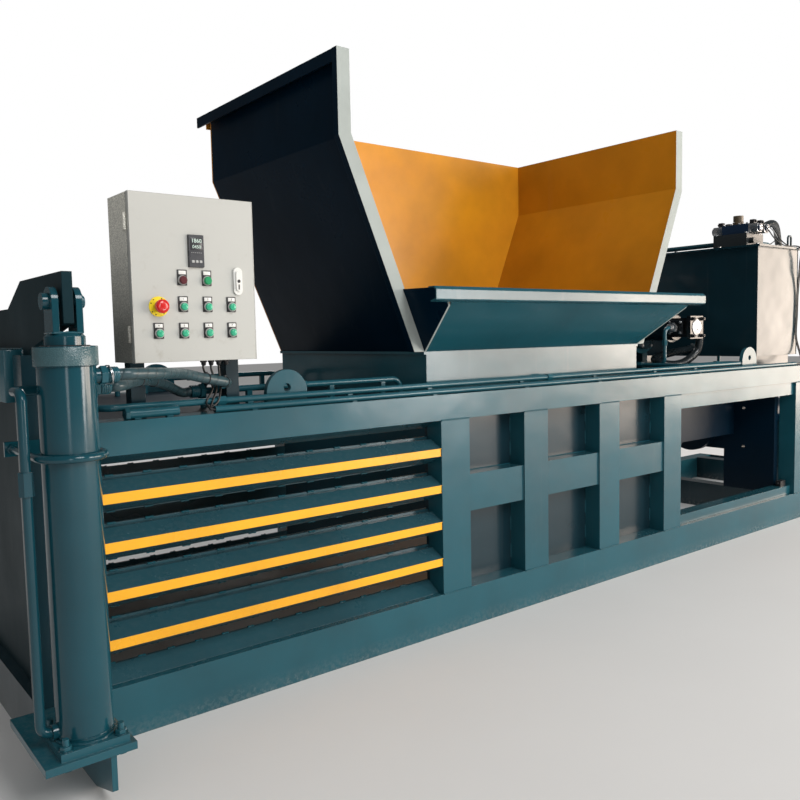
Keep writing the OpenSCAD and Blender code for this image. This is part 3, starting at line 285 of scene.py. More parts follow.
def makeSteel(name, colour, roughness, brushed=(1.0, 1.0, 1.0), rust=0.0, metallic=0.9):
    steel = {"grainScale": 90, "grainDepth": 0.00012, "rustScale": 5.0, "rust": (0.13, 0.055, 0.024)}
    material, tree, shader, point = newMaterial(name, metallic=metallic, roughness=roughness)
    grain = speckle(tree, point, tuple(scaled(brushed, steel["grainScale"])), 5.0, 0.7)
    rusty = times(tree, ramp(tree, speckle(tree, point, steel["rustScale"], 5.0), 0.5, 0.72), rust)
    shade = mixed(tree, ramp(tree, grain, 0.3, 0.7), scaled(colour, 0.8), colour)
    shade = mixed(tree, rusty, shade, steel["rust"])
    ground = ramp(tree, grain, 0.3, 0.7, roughness - 0.08, roughness + 0.1)
    rough = maths(tree, "ADD", ground, times(tree, rusty, 0.4))
    bump = bumpOf(tree, grain, steel["grainDepth"], 0.5)
    wire(tree, shader, Base_Color=shade, Roughness=rough, Normal=bump)
    return material


def makePlastic(name, colour, roughness=0.35, grain=0.00006, coat=0.0):
    plastic = {"handledScale": 45.0, "handledShare": 0.14, "grainScale": 900.0}
    material, tree, shader, point = newMaterial(name, roughness=roughness, coat=coat)
    handled = speckle(tree, point, plastic["handledScale"])
    share = ramp(tree, handled, 0.45, 0.75, 0.0, plastic["handledShare"])
    shade = mixed(tree, share, colour, [0.6 * c + 0.02 for c in colour])
    worn = ramp(tree, handled, 0.35, 0.7, roughness - 0.05, roughness + 0.10)
    bump = bumpOf(tree, speckle(tree, point, plastic["grainScale"], 2.0), grain, 0.6)
    wire(tree, shader, Base_Color=shade, Roughness=worn, Normal=bump)
    return material


def makeLampPaint():
    pilot = {"between": -2.242, "left": (0.095, 0.006, 0.012), "right": (0.006, 0.30, 0.11), "rings": 160.0}
    material, tree, shader, point = newMaterial("lampLenses", roughness=0.16, coat=0.4)
    right = maths(tree, "GREATER_THAN", axes(tree, point)["X"], pilot["between"])
    lens = mixed(tree, right, pilot["left"], pilot["right"])
    wave = add(tree, "TexWave", Vector=point, Scale=pilot["rings"], wave_type="BANDS", bands_direction="Z")
    rings = wave.outputs["Fac"]
    shade = mixed(tree, ramp(tree, rings, 0.0, 1.0, 0.0, 0.04), lens, (0.9, 0.9, 0.9))
    wire(tree, shader, Base_Color=shade, Normal=bumpOf(tree, rings, 0.0002, 0.5))
    return material


def makeHose(name, colour, roughness, pitch, dark, depth):
    # A hose under a spiral wrap, whose turns follow the hose by its own length
    wrap = {"seam": (0.004, 0.006, 0.008), "wornScale": 22.0, "gritScale": 140.0, "gritShare": 0.18}
    material, tree, shader, point = newMaterial(name, roughness=roughness, specular=0.5)
    along = axes(tree, add(tree, "TexCoord").outputs["UV"])
    turn = maths(tree, "FRACT", maths(tree, "ADD", times(tree, along["X"], 1 / pitch), along["Y"]))
    band = times(tree, ramp(tree, turn, 0.0, 0.12), ramp(tree, turn, 1.0, 0.80))
    worn = speckle(tree, point, wrap["wornScale"])
    shade = mixed(tree, ramp(tree, worn, 0.42, 0.75, 0.0, 0.35), colour, scaled(colour, 0.55))
    shade = mixed(tree, times(tree, maths(tree, "SUBTRACT", 1.0, band), dark), shade, wrap["seam"])
    grit = speckle(tree, point, wrap["gritScale"], 4.0, 0.7)
    shade = mixed(tree, ramp(tree, grit, 0.62, 0.78, 0.0, wrap["gritShare"]), shade, paint["dust"])
    rough = ramp(tree, worn, 0.3, 0.7, roughness - 0.06, roughness + 0.12)
    wire(tree, shader, Base_Color=shade, Roughness=rough, Normal=bumpOf(tree, band, depth, 0.9))
    return material


def makeHammered(name, colour, cell, depth, roughness, contrast, paintedShadeFade=None):
    # Enamel that dries in small dimples; the last argument is (dark height, full height, share left at the
    # dark height) of a painted shade that darkens it towards the bottom
    material, tree, shader, point = newMaterial(name, roughness=roughness, coat=0.15)
    cells = add(tree, "TexVoronoi", Vector=point, Scale=cell).outputs["Distance"]
    patches = speckle(tree, point, 3.0)
    light, dark = scaled(colour, 1 + contrast), scaled(colour, 1 - contrast * 0.7)
    shade = mixed(tree, ramp(tree, cells, 0.1, 0.6), light, dark)
    shade = mixed(tree, ramp(tree, patches, 0.45, 0.75, 0.0, 0.2), shade, scaled(colour, 0.7))
    # painted shade: darker towards the bottom
    if paintedShadeFade is not None:
        paintedLitShare = ramp(tree, axes(tree, point)["Z"], paintedShadeFade[0], paintedShadeFade[1], paintedShadeFade[2], 1.0)
        shade = mixed(tree, paintedLitShare, (0.0, 0.0, 0.0), shade)
    rough = ramp(tree, patches, 0.3, 0.7, roughness - 0.05, roughness + 0.08)
    wire(tree, shader, Base_Color=shade, Roughness=rough, Normal=bumpOf(tree, cells, depth, 0.9))
    return material


def makeDoorPaint():
    door = {"colour": (0.50, 0.505, 0.475), "smudge": (0.33, 0.31, 0.26), "lowZ": 1.117, "highZ": 1.617,
            "edge": 0.004, "peelScale": 420.0, "peelDepth": 0.00012}
    material, tree, shader, point = newMaterial("warmGreyDoor", roughness=0.36, coat=0.1)
    soft = speckle(tree, point, 6.0)
    hands = ramp(tree, speckle(tree, point, 30.0, 5.0, 0.65), 0.58, 0.76)
    lower = ramp(tree, axes(tree, point)["Z"], door["highZ"], door["lowZ"], 0.05, 0.55)
    shade = mixed(tree, ramp(tree, soft, 0.35, 0.7, 0.0, 0.25), door["colour"], scaled(door["colour"], 0.88))
    shade = mixed(tree, times(tree, hands, lower), shade, door["smudge"])
    rounded = roundedEdges(tree, door["edge"])
    peel = bumpOf(tree, speckle(tree, point, door["peelScale"], 2.0), door["peelDepth"], 0.6, rounded)
    wire(tree, shader, Base_Color=shade, Roughness=ramp(tree, soft, 0.3, 0.7, 0.28, 0.42), Normal=peel)
    return material


def makeValvePaint():
    # The valve's manifold is plain dark steel, the valves on it are blue and their cap is brown
    valve = {"blueAbove": 1.768, "brownAbove": 1.828, "steel": (0.035, 0.042, 0.045),
             "blue": (0.010, 0.032, 0.075), "brown": (0.10, 0.075, 0.045)}
    material, tree, shader, point = newMaterial("valvePaint", metallic=0.1, coat=0.1)
    height = axes(tree, point)["Z"]
    blueHere = maths(tree, "GREATER_THAN", height, valve["blueAbove"])
    brownHere = maths(tree, "GREATER_THAN", height, valve["brownAbove"])
    colour = mixed(tree, blueHere, valve["steel"], valve["blue"])
    colour = mixed(tree, brownHere, colour, valve["brown"])
    enamelFinish(tree, shader, colour, point, 0.5, 0.34)
    return material


tealEnamel = makeEnamel("tealEnamel", paint["teal"])
# painted shade: the navy, gate, lift, tank and steel blue enamels are darker copies of the teal paint
shadeNavyEnamel = makeEnamel("shadeNavyEnamel", paint["shadeNavy"], roughness=0.36, specular=0.2, coat=0.0)
gateShadeEnamel = makeEnamel("gateShadeEnamel", paint["gate"], roughness=0.42, specular=0.10, coat=0.0)
liftShadeEnamel = makeEnamel("liftShadeEnamel", paint["lift"], 0.6, 0.11, specular=0.35, coat=0.25, sway=0.0015)
tankShadeEnamel = makeEnamel("tankShadeEnamel", paint["shadeNavySteel"], coat=0.06, sway=0.05)
steelBlueShadeEnamel = makeEnamel("steelBlueShadeEnamel", paint["shadeNavySteel"], specular=0.45)
hammeredTeal = makeHammered("hammeredTeal", paint["hammeredTeal"], 300.0, 0.0007, 0.24, 0.12)
slatPaint = makeSlatPaint()
gateWallPaint = makeHopperPaint("gateSideHopperPaint", "X", 1.0)
# painted shade: the rear wall's orange is darkened to 0.72
rearWallPaint = makeHopperPaint("rearSideHopperPaint", "-X", 0.72)
farWallPaint = makeFarWallPaint()
wornSteel = makeSteel("wornSteel", (0.60, 0.585, 0.55), 0.40, (1.0, 6.0, 6.0), 0.25, 0.35)
zincSteel = makeSteel("zincBolts", (0.60, 0.61, 0.62), 0.26, rust=0.05)
chrome = makeSteel("hardChrome", (0.72, 0.73, 0.75), 0.12, (1.0, 1.0, 0.2), 0.0, 1.0)
machinedCover = makeSteel("machinedCover", (0.62, 0.63, 0.64), 0.24, metallic=1.0)
pumpEnamel = makeEnamel("pumpEnamel", paint["pump"], 0.6, 0.22)
brownCap = makeEnamel("brownCap", paint["brown"], 0.8, 0.4)
valvePaint = makeValvePaint()
blackPlastic = makePlastic("blackPlastic", (0.014, 0.014, 0.016), 0.38)
glassBlack = makePlastic("displayWindow", (0.020, 0.022, 0.025), 0.42, 0.00001, 0.25)
greyPlastic = makePlastic("charcoalPlastic", (0.055, 0.057, 0.064), 0.30)
paleGrey = makePlastic("paleGreyPlastic", (0.42, 0.43, 0.42), 0.35)
whitePlastic = makePlastic("whitePlastic", (0.76, 0.76, 0.73), 0.28)
displayGlow = makePlastic("displayDigits", (0.62, 0.78, 0.70), 0.50)
yellowPlastic = makePlastic("yellowPlastic", (0.90, 0.70, 0.020), 0.34)
redPlastic = makePlastic("redPlastic", (0.62, 0.014, 0.012), 0.24, coat=0.4)
greenPlastic = makePlastic("greenPlastic", (0.028, 0.40, 0.22), 0.24, coat=0.3)
lampPaint = makeLampPaint()
paintedHose = makeHose("paintedHose", (0.034, 0.072, 0.084), 0.30, 0.034, 0.35, 0.0006)
blackHose = makeHose("blackHose", (0.012, 0.018, 0.021), 0.22, 0.25, 0.0, 0.0002)
cableSheath = makeHose("cableSheath", (0.010, 0.012, 0.013), 0.30, 0.30, 0.0, 0.0001)
greyCable = makeHose("greyCable", (0.30, 0.32, 0.33), 0.4, 0.3, 0.0, 0.0001)
# painted reflection: the box shell's grey is raised to a bright tone for the highlight on its side, and
# painted shade darkens it towards the bottom
hammeredGrey = makeHammered("hammeredGrey", (0.90, 0.88, 0.78), 240.0, 0.0011, 0.30, 0.4, (1.20, 1.46, 0.42))
doorPaint = makeDoorPaint()

finishes = {
    tealEnamel: [
        "base_rails", "top_rails", "side_posts", "side_ribs", "ram_guides", "lift_brackets", "hopper_lip",
        "hopper_collar", "lifting_lugs", "oil_pipes", "motor", "foot_bolts",
    ],
    steelBlueShadeEnamel: ["chamber_walls", "cross_members", "gate_guides", "box_stand", "bell_housing"],
    tankShadeEnamel: ["tank", "tank_lid"],
    liftShadeEnamel: ["lift_barrels", "lift_hoops", "lift_tubes", "lift_forks", "fork_pins"],
    gateShadeEnamel: ["gate_plate"],
    shadeNavyEnamel: ["deck_plates", "cross_plate", "main_barrel", "ram_body"],
    slatPaint: ["side_slats"],
    gateWallPaint: ["hopper_gate_wall"],
    rearWallPaint: ["hopper_rear_wall"],
    farWallPaint: ["hopper_far_wall"],
    wornSteel: ["floor_plate", "ram_face"],
    chrome: ["lift_rods", "main_rod"],
    valvePaint: ["valve_block"],
    pumpEnamel: ["pump"],
    blackPlastic: ["limit_switch", "label_holders"],
    greyPlastic: ["instrument"],
    whitePlastic: ["lock_case", "lock_lever"],
    yellowPlastic: ["stop_ring"],
    redPlastic: ["stop_button"],
    greenPlastic: ["button_%d" % i for i in range(1, 8)],
    lampPaint: ["pilot_lamps"],
    hammeredGrey: ["box_shell"],
    doorPaint: ["box_door"],
}
for material, names in finishes.items():
    for name in names:
        nodes[name].data.materials.clear()
        nodes[name].data.materials.append(material)
print("paint and finishes laid on the CAD nodes")

# Shapes: each is a list of points, in millimetres as place() takes them, and a list of faces

signs = (-1, 1)
corners4 = [(sx, sy) for sx in signs for sy in signs]
outward, upward, alongX = (0, -1, 0), (0, 0, 1), (1, 0, 0)


def show(name, data):
    made = bpy.data.objects.new(name, data)
    bpy.context.scene.collection.objects.link(made)
    return made


def piece(name, shapes, material, body="frame", sharp=35, corners=None):
    points, faces = [], []
    for shapePoints, shapeFaces in shapes:
        first = len(points)
        points += [place(*p) for p in shapePoints]
        faces += [tuple(first + i for i in face) for face in shapeFaces]
    mesh = bpy.data.meshes.new(name)
    mesh.from_pydata(points, [], faces)
    mesh.polygons.foreach_set("use_smooth", [True] * len(mesh.polygons))
    mesh.set_sharp_from_angle(angle=math.radians(sharp))
    if corners is not None:
        layer = mesh.uv_layers.new(name="UVMap")
        layer.data.foreach_set("uv", [value for corner in corners for value in corner])
    mesh.materials.append(material)
    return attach(show(name, mesh), body)


def mirrored(shapes):
    return [([(x, -y, z) for x, y, z in points], [face[::-1] for face in faces]) for points, faces in shapes]


def bothSides(shapes):
    return shapes + mirrored(shapes)


def block(low, high, edge=0.0):
    if edge <= 0:
        corners = [(x, y, z) for x in (low[0], high[0]) for y in (low[1], high[1]) for z in (low[2], high[2])]
        faces = [(0, 1, 3, 2), (4, 6, 7, 5), (0, 4, 5, 1), (2, 3, 7, 6), (0, 2, 6, 4), (1, 5, 7, 3)]
        return corners, faces
    solid = bmesh.new()
    bmesh.ops.create_cube(solid, size=1.0)
    for v in solid.verts:
        v.co = Vector((low[i] + (v.co[i] + 0.5) * (high[i] - low[i]) for i in range(3)))
    bmesh.ops.bevel(solid, geom=solid.edges[:], offset=edge, segments=2, profile=0.5, affect="EDGES")
    solid.verts.index_update()
    made = [tuple(v.co) for v in solid.verts], [tuple(v.index for v in f.verts) for f in solid.faces]
    solid.free()
    return made


def cube(middle, half, edge=0.0):
    return block([c - half for c in middle], [c + half for c in middle], edge)


def frameOf(axis):  # the axis and two directions square to it
    along = Vector(axis).normalized()
    across = along.orthogonal().normalized()
    return along, across, along.cross(across)


def outTo(across, up, radius, angle):
    return radius * (math.cos(angle) * across + math.sin(angle) * up)


def turned(profile, spot, axis, sides=24):
    # A turned solid: profile is a list of (distance along the axis, radius) from the spot
    along, across, up = frameOf(axis)
    points, faces = [], []
    for distance, radius in profile:
        for k in range(sides):
            ring = outTo(across, up, radius, 2 * math.pi * k / sides)
            points.append(tuple(Vector(spot) + distance * along + ring))
    for i in range(len(profile) - 1):
        for k in range(sides):
            a, b = i * sides + k, i * sides + (k + 1) % sides
            faces.append((a, b, b + sides, a + sides))
    faces.append(tuple(range(sides))[::-1])
    faces.append(tuple((len(profile) - 1) * sides + k for k in range(sides)))
    return points, faces


def aroundY(spot, radius, angle):
    return spot[0] + radius * math.cos(angle), spot[1], spot[2] + radius * math.sin(angle)


def disc(spot, axis, radius, height, sides=24):
    return turned([(0, radius), (height, radius)], spot, axis, sides)


def hexagon(spot, axis, across, height):
    outer = across / math.sqrt(3)
    return turned([(0, outer * 0.96), (1, outer), (height - 1, outer), (height, outer * 0.94)], spot, axis, 6)


def bolt(spot, axis, size):  # a washer and a hexagon head
    washer = disc(spot, axis, size * 1.05, size * 0.18, 20)
    start = tuple(Vector(spot) + Vector(axis).normalized() * size * 0.18)
    return [washer, hexagon(start, axis, size * 1.6, size * 0.65)]


def socketBolt(spot, axis, size):  # a round head with a hollow
    rim, hollow = size * 0.78, size * 0.42
    profile = [(0, rim), (size * 0.9, rim), (size, size * 0.7), (size, hollow), (size * 0.5, hollow)]
    return [turned(profile, spot, axis, 16)]


def smoothRoute(route, steps):
    # The CAD's curve through the route's points: tangents are half the step from neighbour to neighbour
    points = [Vector(p) for p in route]
    last = len(points) - 1
    slopes = [points[1] - points[0]]
    slopes += [(points[i + 1] - points[i - 1]) / 2 for i in range(1, last)]
    slopes.append(points[last] - points[last - 1])
    made = []
    for i in range(last):
        for k in range(steps):
            t = k / steps
            made.append(
                (2 * t**3 - 3 * t**2 + 1) * points[i] + (t**3 - 2 * t**2 + t) * slopes[i]
                + (3 * t**2 - 2 * t**3) * points[i + 1] + (t**3 - t**2) * slopes[i + 1]
            )
    return made + [points[last]]


def tube(route, radius, sides=12, closed=False):
    # Sweeps a circle along points; radius is a number or a function of the point's count
    points = [Vector(p) for p in route]
    count = len(points)
    made, faces, corners = [], [], []
    across, length, lengths = None, 0.0, []
    for i, p in enumerate(points):
        before = points[i - 1] if i or closed else p
        after = points[(i + 1) % count] if i + 1 < count or closed else p
        along = (after - before).normalized()
        across = frameOf(along)[1] if across is None else (across - along * across.dot(along)).normalized()
        up = along.cross(across)
        size = radius(i) if callable(radius) else radius
        made += [tuple(p + outTo(across, up, size, 2 * math.pi * k / sides)) for k in range(sides)]
        lengths.append(length)
        length += (points[(i + 1) % count] - p).length / 1000
    for i in range(count if closed else count - 1):
        j = (i + 1) % count
        start, end = lengths[i], lengths[i + 1] if i + 1 < count else length
        for k in range(sides):
            n = (k + 1) % sides
            faces.append((i * sides + k, i * sides + n, j * sides + n, j * sides + k))
            low, high = k / sides, (k + 1) / sides
            corners += [(start, low), (start, high), (end, high), (end, low)]
    if not closed:
        faces += [tuple(range(sides))[::-1], tuple((count - 1) * sides + k for k in range(sides))]
        corners += [(0.0, 0.0)] * sides + [(length, 0.0)] * sides
    return made, faces, corners


def pipe(route, radius, sides=12, closed=False):  # a tube without its texture corners
    return tube(route, radius, sides, closed)[:2]


def hoses(name, routes, radius, material, steps=12, mirror=False, sides=16):
    shapes, corners = [], []
    for route in routes:
        points, faces, uvs = tube(smoothRoute(route, steps), radius, sides)
        shapes.append((points, faces))
        corners += uvs
        if mirror:
            shapes += mirrored([(points, faces)])
            first = 0
            for face in faces:
                corners += uvs[first:first + len(face)][::-1]
                first += len(face)
    return piece(name, shapes, material, "frame", 60, corners)


weld = {"step": 4.5, "width": 0.9, "ripple": 0.16, "wander": 0.25}


def bead(start, end, size=3.4, step=weld["step"]):
    # A run of weld, whose ripples and width wander a little
    a, b = Vector(start), Vector(end)
    count = max(3, int((b - a).length / step))
    route = [a.lerp(b, i / count) for i in range(count + 1)]
    seed = a.x * 0.11 + a.y * 0.07 + a.z * 0.13

    def width(i):
        wander = weld["wander"] * valueNoise(Vector((seed + i * 0.31, seed, 0.0)))
        return size * (weld["width"] + weld["ripple"] * math.sin(i * 1.9) + wander)

    return pipe(route, width, 6)


def dashes(start, end, length, pitch, size=3.4):
    a, b = Vector(start), Vector(end)
    way = (b - a).normalized()
    made = []
    for i in range(max(1, int((b - a).length / pitch))):
        first = (i + 0.3) * pitch
        made.append(bead(a + way * (i + 0.3) * pitch, a + way * (first + length), size))
    return made


def beadX(fromX, toX, y, z, size, step=weld["step"]):
    return bead((fromX, y, z), (toX, y, z), size, step)


def beadZ(x, y, fromZ, toZ, size):
    return bead((x, y, fromZ), (x, y, toZ), size)


def beadRing(spot, axis, ringRadius, size=4.0):
    across, up = frameOf(axis)[1:]
    count = int(2 * math.pi * ringRadius / weld["step"])
    route = [Vector(spot) + outTo(across, up, ringRadius, 2 * math.pi * i / count) for i in range(count)]
    return pipe(route, lambda i: size * (0.92 + 0.14 * math.sin(i * 2.1)), 6, closed=True)


def loopRing(spot, axis, ringRadius, thickness):
    across, up = frameOf(axis)[1:]
    route = [Vector(spot) + outTo(across, up, ringRadius, 2 * math.pi * i / 32) for i in range(32)]
    return pipe(route, thickness, 8, closed=True)


def numeral(name, text, spot, size, material, body):
    data = bpy.data.curves.new(name, "FONT")
    data.body = text
    data.size = size / 1000
    data.extrude = 0.00015
    data.align_x = "CENTER"
    data.align_y = "CENTER"
    data.materials.append(material)
    made = show(name, data)
    made.location = place(*spot)
    made.rotation_euler = (math.pi / 2, 0, 0)
    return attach(made, body)


# Sizes that the pieces share, as the CAD has them

near = -650
railH, topRailLow, deck = 160, 850, 950
posts = {"x": (1505, 1975, 2485, 3005), "wide": 150, "deep": 84, "rear": 4395, "rearWide": 200}
lift = {"x": 45.5, "y": -900, "barrel": 70, "top": 1173, "foot": 180, "pinZ": 1283}
panel = {"x": 313, "z": 1117, "wide": 400, "high": 500}
pump = {"x": 3655, "y": -430, "z": 1195}
tank = {"start": 4100, "end": 4595, "y": -550, "low": 1015, "top": 1665, "lidTop": 1677}


def weldFrame():
    size = {"seam": 3.4, "slat": 4.2, "fold": 1.3, "collar": 4.2, "collarEnd": 4.0, "lug": 5.0}
    ribs = {"low": 470, "high": 620}
    slats = {"topZ": 726, "pitch": 145, "count": 4, "half": 54.5, "fold": 15.5, "face": 14}
    slatX, collarX, lugX = (190, 1500), (1511, 2899), (862, 3960)
    shapes = []
    for x in posts["x"] + (posts["rear"],):
        wide = posts["rearWide"] if x == posts["rear"] else posts["wide"]
        shapes += [beadX(x + 2, x + wide - 2, near - 0.6, z, size["seam"]) for z in (railH, topRailLow)]
    back = near + posts["deep"]
    for post, right in zip(posts["x"], posts["x"][1:]):
        left = post + posts["wide"]
        for x in (left + 1, right - 1):
            shapes.append(beadZ(x, near + 8, ribs["low"], ribs["high"], size["seam"]))
            shapes += dashes((x, back, railH + 10), (x, back, ribs["low"] - 2), 60, 120, size["seam"])
            shapes += dashes((x, back, ribs["high"] + 4), (x, back, topRailLow - 5), 60, 105, size["seam"])
        shapes += [beadX(left + 2, right - 2, back, z, size["seam"]) for z in (ribs["low"], ribs["high"])]
    for i in range(slats["count"]):
        middle = slats["topZ"] - slats["pitch"] * i
        low, high = middle - slats["face"], middle + slats["face"]
        shapes.append(beadZ(posts["x"][0] - 1, near - 0.5, low, high, size["seam"]))
        for side in signs:
            edge, fold = middle + side * slats["half"], middle + side * slats["fold"]
            shapes += dashes((200, -563, edge), (1440, -563, edge), 26, 118, size["slat"])
            shapes.append(beadX(*slatX, near + 8.5, fold, size["fold"], 9))
    z = railH + 42
    shapes += dashes((slatX[0], -556, z), (slatX[1], -556, z), 24, 95, size["slat"])
    z = deck + 1
    shapes.append(beadX(collarX[0] + 2, collarX[1] - 2, -560, z, size["collar"]))
    shapes += [beadX(x - 80, x + 80, -585.5, z, size["lug"]) for x in lugX]
    piece("frameWelds", bothSides(shapes), tealEnamel)
    ends = [bead((x, -555, z), (x, 555, z), size["collarEnd"]) for x in collarX]
    piece("collarEndWelds", ends, tealEnamel)


def dressLifts():
    parts = {"weld": 5.2, "hoopZ": 900, "hoopHalf": 80.5, "washer": 17.5, "bolts": 68, "capZ": 1126,
             "cap": 76.6, "holes": (0.6, 2.2, 3.8, 5.4), "holeRing": 66, "forkZ": 1206, "fork": 36,
             "forkDeep": 34}
    x, y, top = lift["x"], lift["y"], lift["top"]
    shapes = [beadRing((x, y, lift["foot"] + 2), upward, lift["barrel"] + 2.0, parts["weld"])]
    shapes.append(beadRing((x, y, parts["capZ"] - 1), upward, lift["barrel"] + 1.5, 2.6))
    shapes.append(loopRing((x, y, lift["foot"] + 14), upward, lift["barrel"] + 0.4, 1.6))
    for sx in signs:
        for sy in signs:
            spot = (x + sx * parts["bolts"], y + sy * parts["bolts"], lift["foot"] + 0.2)
            shapes.append(disc(spot, upward, parts["washer"], 3))
        spot = (x + sx * parts["hoopHalf"], near - 11.5, parts["hoopZ"])
        shapes.append(beadRing(spot, (0, 1, 0), 11.0, 3.2))
    piece("liftWelds", bothSides(shapes), liftShadeEnamel)
    seal = turned([(0, 60), (2.5, 58), (2.5, 49.2), (1, 49.0)], (x, y, top), upward, 32)
    piece("rodWipers", bothSides([seal]), blackPlastic)
    profile = [(0.0, parts["cap"]), (44.0, parts["cap"]), (47.0, 74.5), (47.6, 62.0)]
    piece("liftCaps", bothSides([turned(profile, (x, y, parts["capZ"]), upward, 48)]), hammeredTeal)
    notches = []
    for a in parts["holes"]:
        spot = (x + parts["holeRing"] * math.cos(a), y + parts["holeRing"] * math.sin(a), top + 0.2)
        notches.append(disc(spot, upward, 5, 1.2, 12))
    piece("glandHoles", bothSides(notches), blackPlastic)
    half, deep, z = parts["fork"], parts["forkDeep"], parts["forkZ"]
    welds = [beadX(x - half, x + half, y + side * deep, z, 3.6) for side in signs]
    welds.append(bead((x - half - 1, y - deep, z), (x - half - 1, y + deep, z), 3.6))
    piece("forkWelds", bothSides(welds), tealEnamel, "gate")
    pins, pinEnd, z = [], [(-3, 15.2), (0, 15.2), (1.2, 13.5)], lift["pinZ"]
    for side in signs:
        pins.append(disc((x + side * 40, y, z), (side, 0, 0), 21, 4))
        pins.append(turned(pinEnd, (x + side * 49, y, z), (side, 0, 0)))
    piece("pinWashers", bothSides(pins), tealEnamel, "gate")


def dressGate():
    # The gate's plate and arms with the deep box beam across its front
    gate = {"front": 33, "back": 58, "weld": 4.0}
    beam = {"front": -19, "half": 541, "low": 1016, "top": 1165}
    half = [(0, railH), (-620, railH), (-620, 1165), (-942, 1229), (-942, 1355), (-553, 1355), (-398, 1283)]
    outline = half[1:] + [(-y, z) for y, z in half[:0:-1]]
    count = len(outline)
    points = [(x, y, z) for x in (gate["front"], gate["back"]) for y, z in outline]
    faces = [tuple(range(count)), tuple(range(2 * count - 1, count - 1, -1))]
    faces += [(i, (i + 1) % count, (i + 1) % count + count, i + count)[::-1] for i in range(count)]
    dressed = piece("gatePlate", [(points, faces)], gateShadeEnamel, "gate")
    wide, low, top, x = beam["half"], beam["low"], beam["top"], gate["front"] - 1
    piece("gateBeam", [block((beam["front"], -wide, low), (x + 2, wide, top), 3)], tealEnamel, "gate")
    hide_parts("gate_plate")
    welds = [bead((x, -wide, z), (x, wide, z), gate["weld"]) for z in (low - 1, top + 1)]
    welds += [beadZ(x, y, low, top, gate["weld"]) for y in (-wide - 1, wide + 1)]
    piece("gateWelds", welds, tealEnamel, "gate")


def fittingShapes(spot, way, hose, hexWide, sleeve):
    # A nut, a crimped sleeve with its grooves and the collar between them
    along = Vector(way).normalized()
    nut = hexagon(tuple(Vector(spot) - along * 2), way, hexWide, 17)
    crimp = [(17, hose + 1.2), (19, hose + 3.2), (sleeve, hose + 3.2), (sleeve + 2, hose + 0.6)]
    grooves = [loopRing(tuple(Vector(spot) + along * d), way, hose + 3.0, 0.9) for d in (25, 31, 37)]
    return [nut, turned(crimp, spot, way, 28)] + grooves


def layHoses():
    hose = {"radius": 15.6, "bore": 17.5, "nut": 44, "sleeve": 44, "tie": 16.4, "tieWire": 1.5, "lock": 3.5,
            "firstTies": (62, 74), "secondTies": (40, 52), "ring": 24.5, "ringWire": 1.6}
    x, y, z = lift["x"] + 82, lift["y"], 1097
    first = [(x, y, z), (x + 45, y, z), (x + 90, y, z), (x + 190, y + 58, z - 5), (420, y + 165, 1084),
             (520, y + 240, 1064), (600, -634, 1048), (628, -602, 1042), (628, -575, 1042), (628, -530, 1042)]
    u, v, w = 135.5, -811.5, 1063
    second = [(u, v, w), (u + 45, v, w), (u + 72, v, w), (275, y + 162, 1068), (350, y + 256, 1065),
              (440, y + 350, 1044), (523.5, -480, 1012), (555, -480, 1012), (600, -480, 1012)]
    dressed = hoses("liftHoses", [first, second], hose["radius"], paintedHose, mirror=True)
    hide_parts("lift_hoses")
    ends = []
    for spot, way in zip((first[0], second[0], first[-1], second[-1]), (alongX, alongX, outward, (-1, 0, 0))):
        ends += fittingShapes(spot, way, hose["bore"], hose["nut"], hose["sleeve"])
    piece("hoseFittings", bothSides(ends), tealEnamel)
    rings = []
    for dx, way in ((20, (1, 0.25, 0.1)), (27, (1, -0.2, 0.15))):
        rings.append(loopRing((x + dx, y, z), way, hose["ring"], hose["ringWire"]))
    piece("wireRings", bothSides(rings), zincSteel)
    ties = []
    for route, spots in ((first, hose["firstTies"]), (second, hose["secondTies"])):
        curve = smoothRoute(route, 12)
        for i in spots:
            ties.append(loopRing(curve[i], curve[i + 1] - curve[i - 1], hose["tie"], hose["tieWire"]))
            ties.append(cube(curve[i] + Vector((0, 0, 18)), hose["lock"], 1))
    piece("hoseTies", bothSides(ties), blackPlastic)


def layMainHose():
    hose = {"radius": 22.6, "bore": 23, "nut": 58, "sleeve": 62}
    port, tail = (4430, -290, 1722), (5345, 0, 694.5)
    route = [port, (4500, -290, 1722), (4680, -280, 1842), (4910, -240, 1882), (5130, -160, 1772),
             (5275, -120, 1504.5), (5345, -20, 1194.5), (5345, 0, 954.5), (5345, 0, 754.5), tail]
    dressed = hoses("mainHose", [route], hose["radius"], blackHose)
    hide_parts("main_hose")
    ends = []
    for spot, way in ((port, alongX), (tail, upward)):
        ends += fittingShapes(spot, way, hose["bore"], hose["nut"], hose["sleeve"])
    piece("mainHoseFittings", ends, zincSteel)


def laySuctionHose():
    hose = {"radius": 22.8, "band": 24.2, "bandHalf": 6, "bands": (4, 8, 112, 117)}
    x, y, z = pump["x"], pump["y"] + 90, deck
    local = [(77, 0, 245), (120, 0, 245), (190, 8, 200), (190, 20, 110), (110, 40, 50), (20, 60, 30),
             (-60, 100, 40), (-40, 160, 60), (60, 180, 80), (345, 180, 110), (445, 180, 110)]
    route = [(x + a, y + b, z + c) for a, b, c in local]
    dressed = hoses("suctionHose", [route], hose["radius"], blackHose)
    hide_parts("suction_hose")
    curve = smoothRoute(route, 12)
    bands = []
    for i in hose["bands"]:
        profile = [(-hose["bandHalf"], hose["band"]), (hose["bandHalf"], hose["band"])]
        bands.append(turned(profile, tuple(curve[i]), curve[i + 1] - curve[i - 1], 28))
        bands.append(cube(curve[i] + Vector((0, 0, 27)), hose["bandHalf"], 1.5))
    piece("hoseBands", bands, zincSteel)


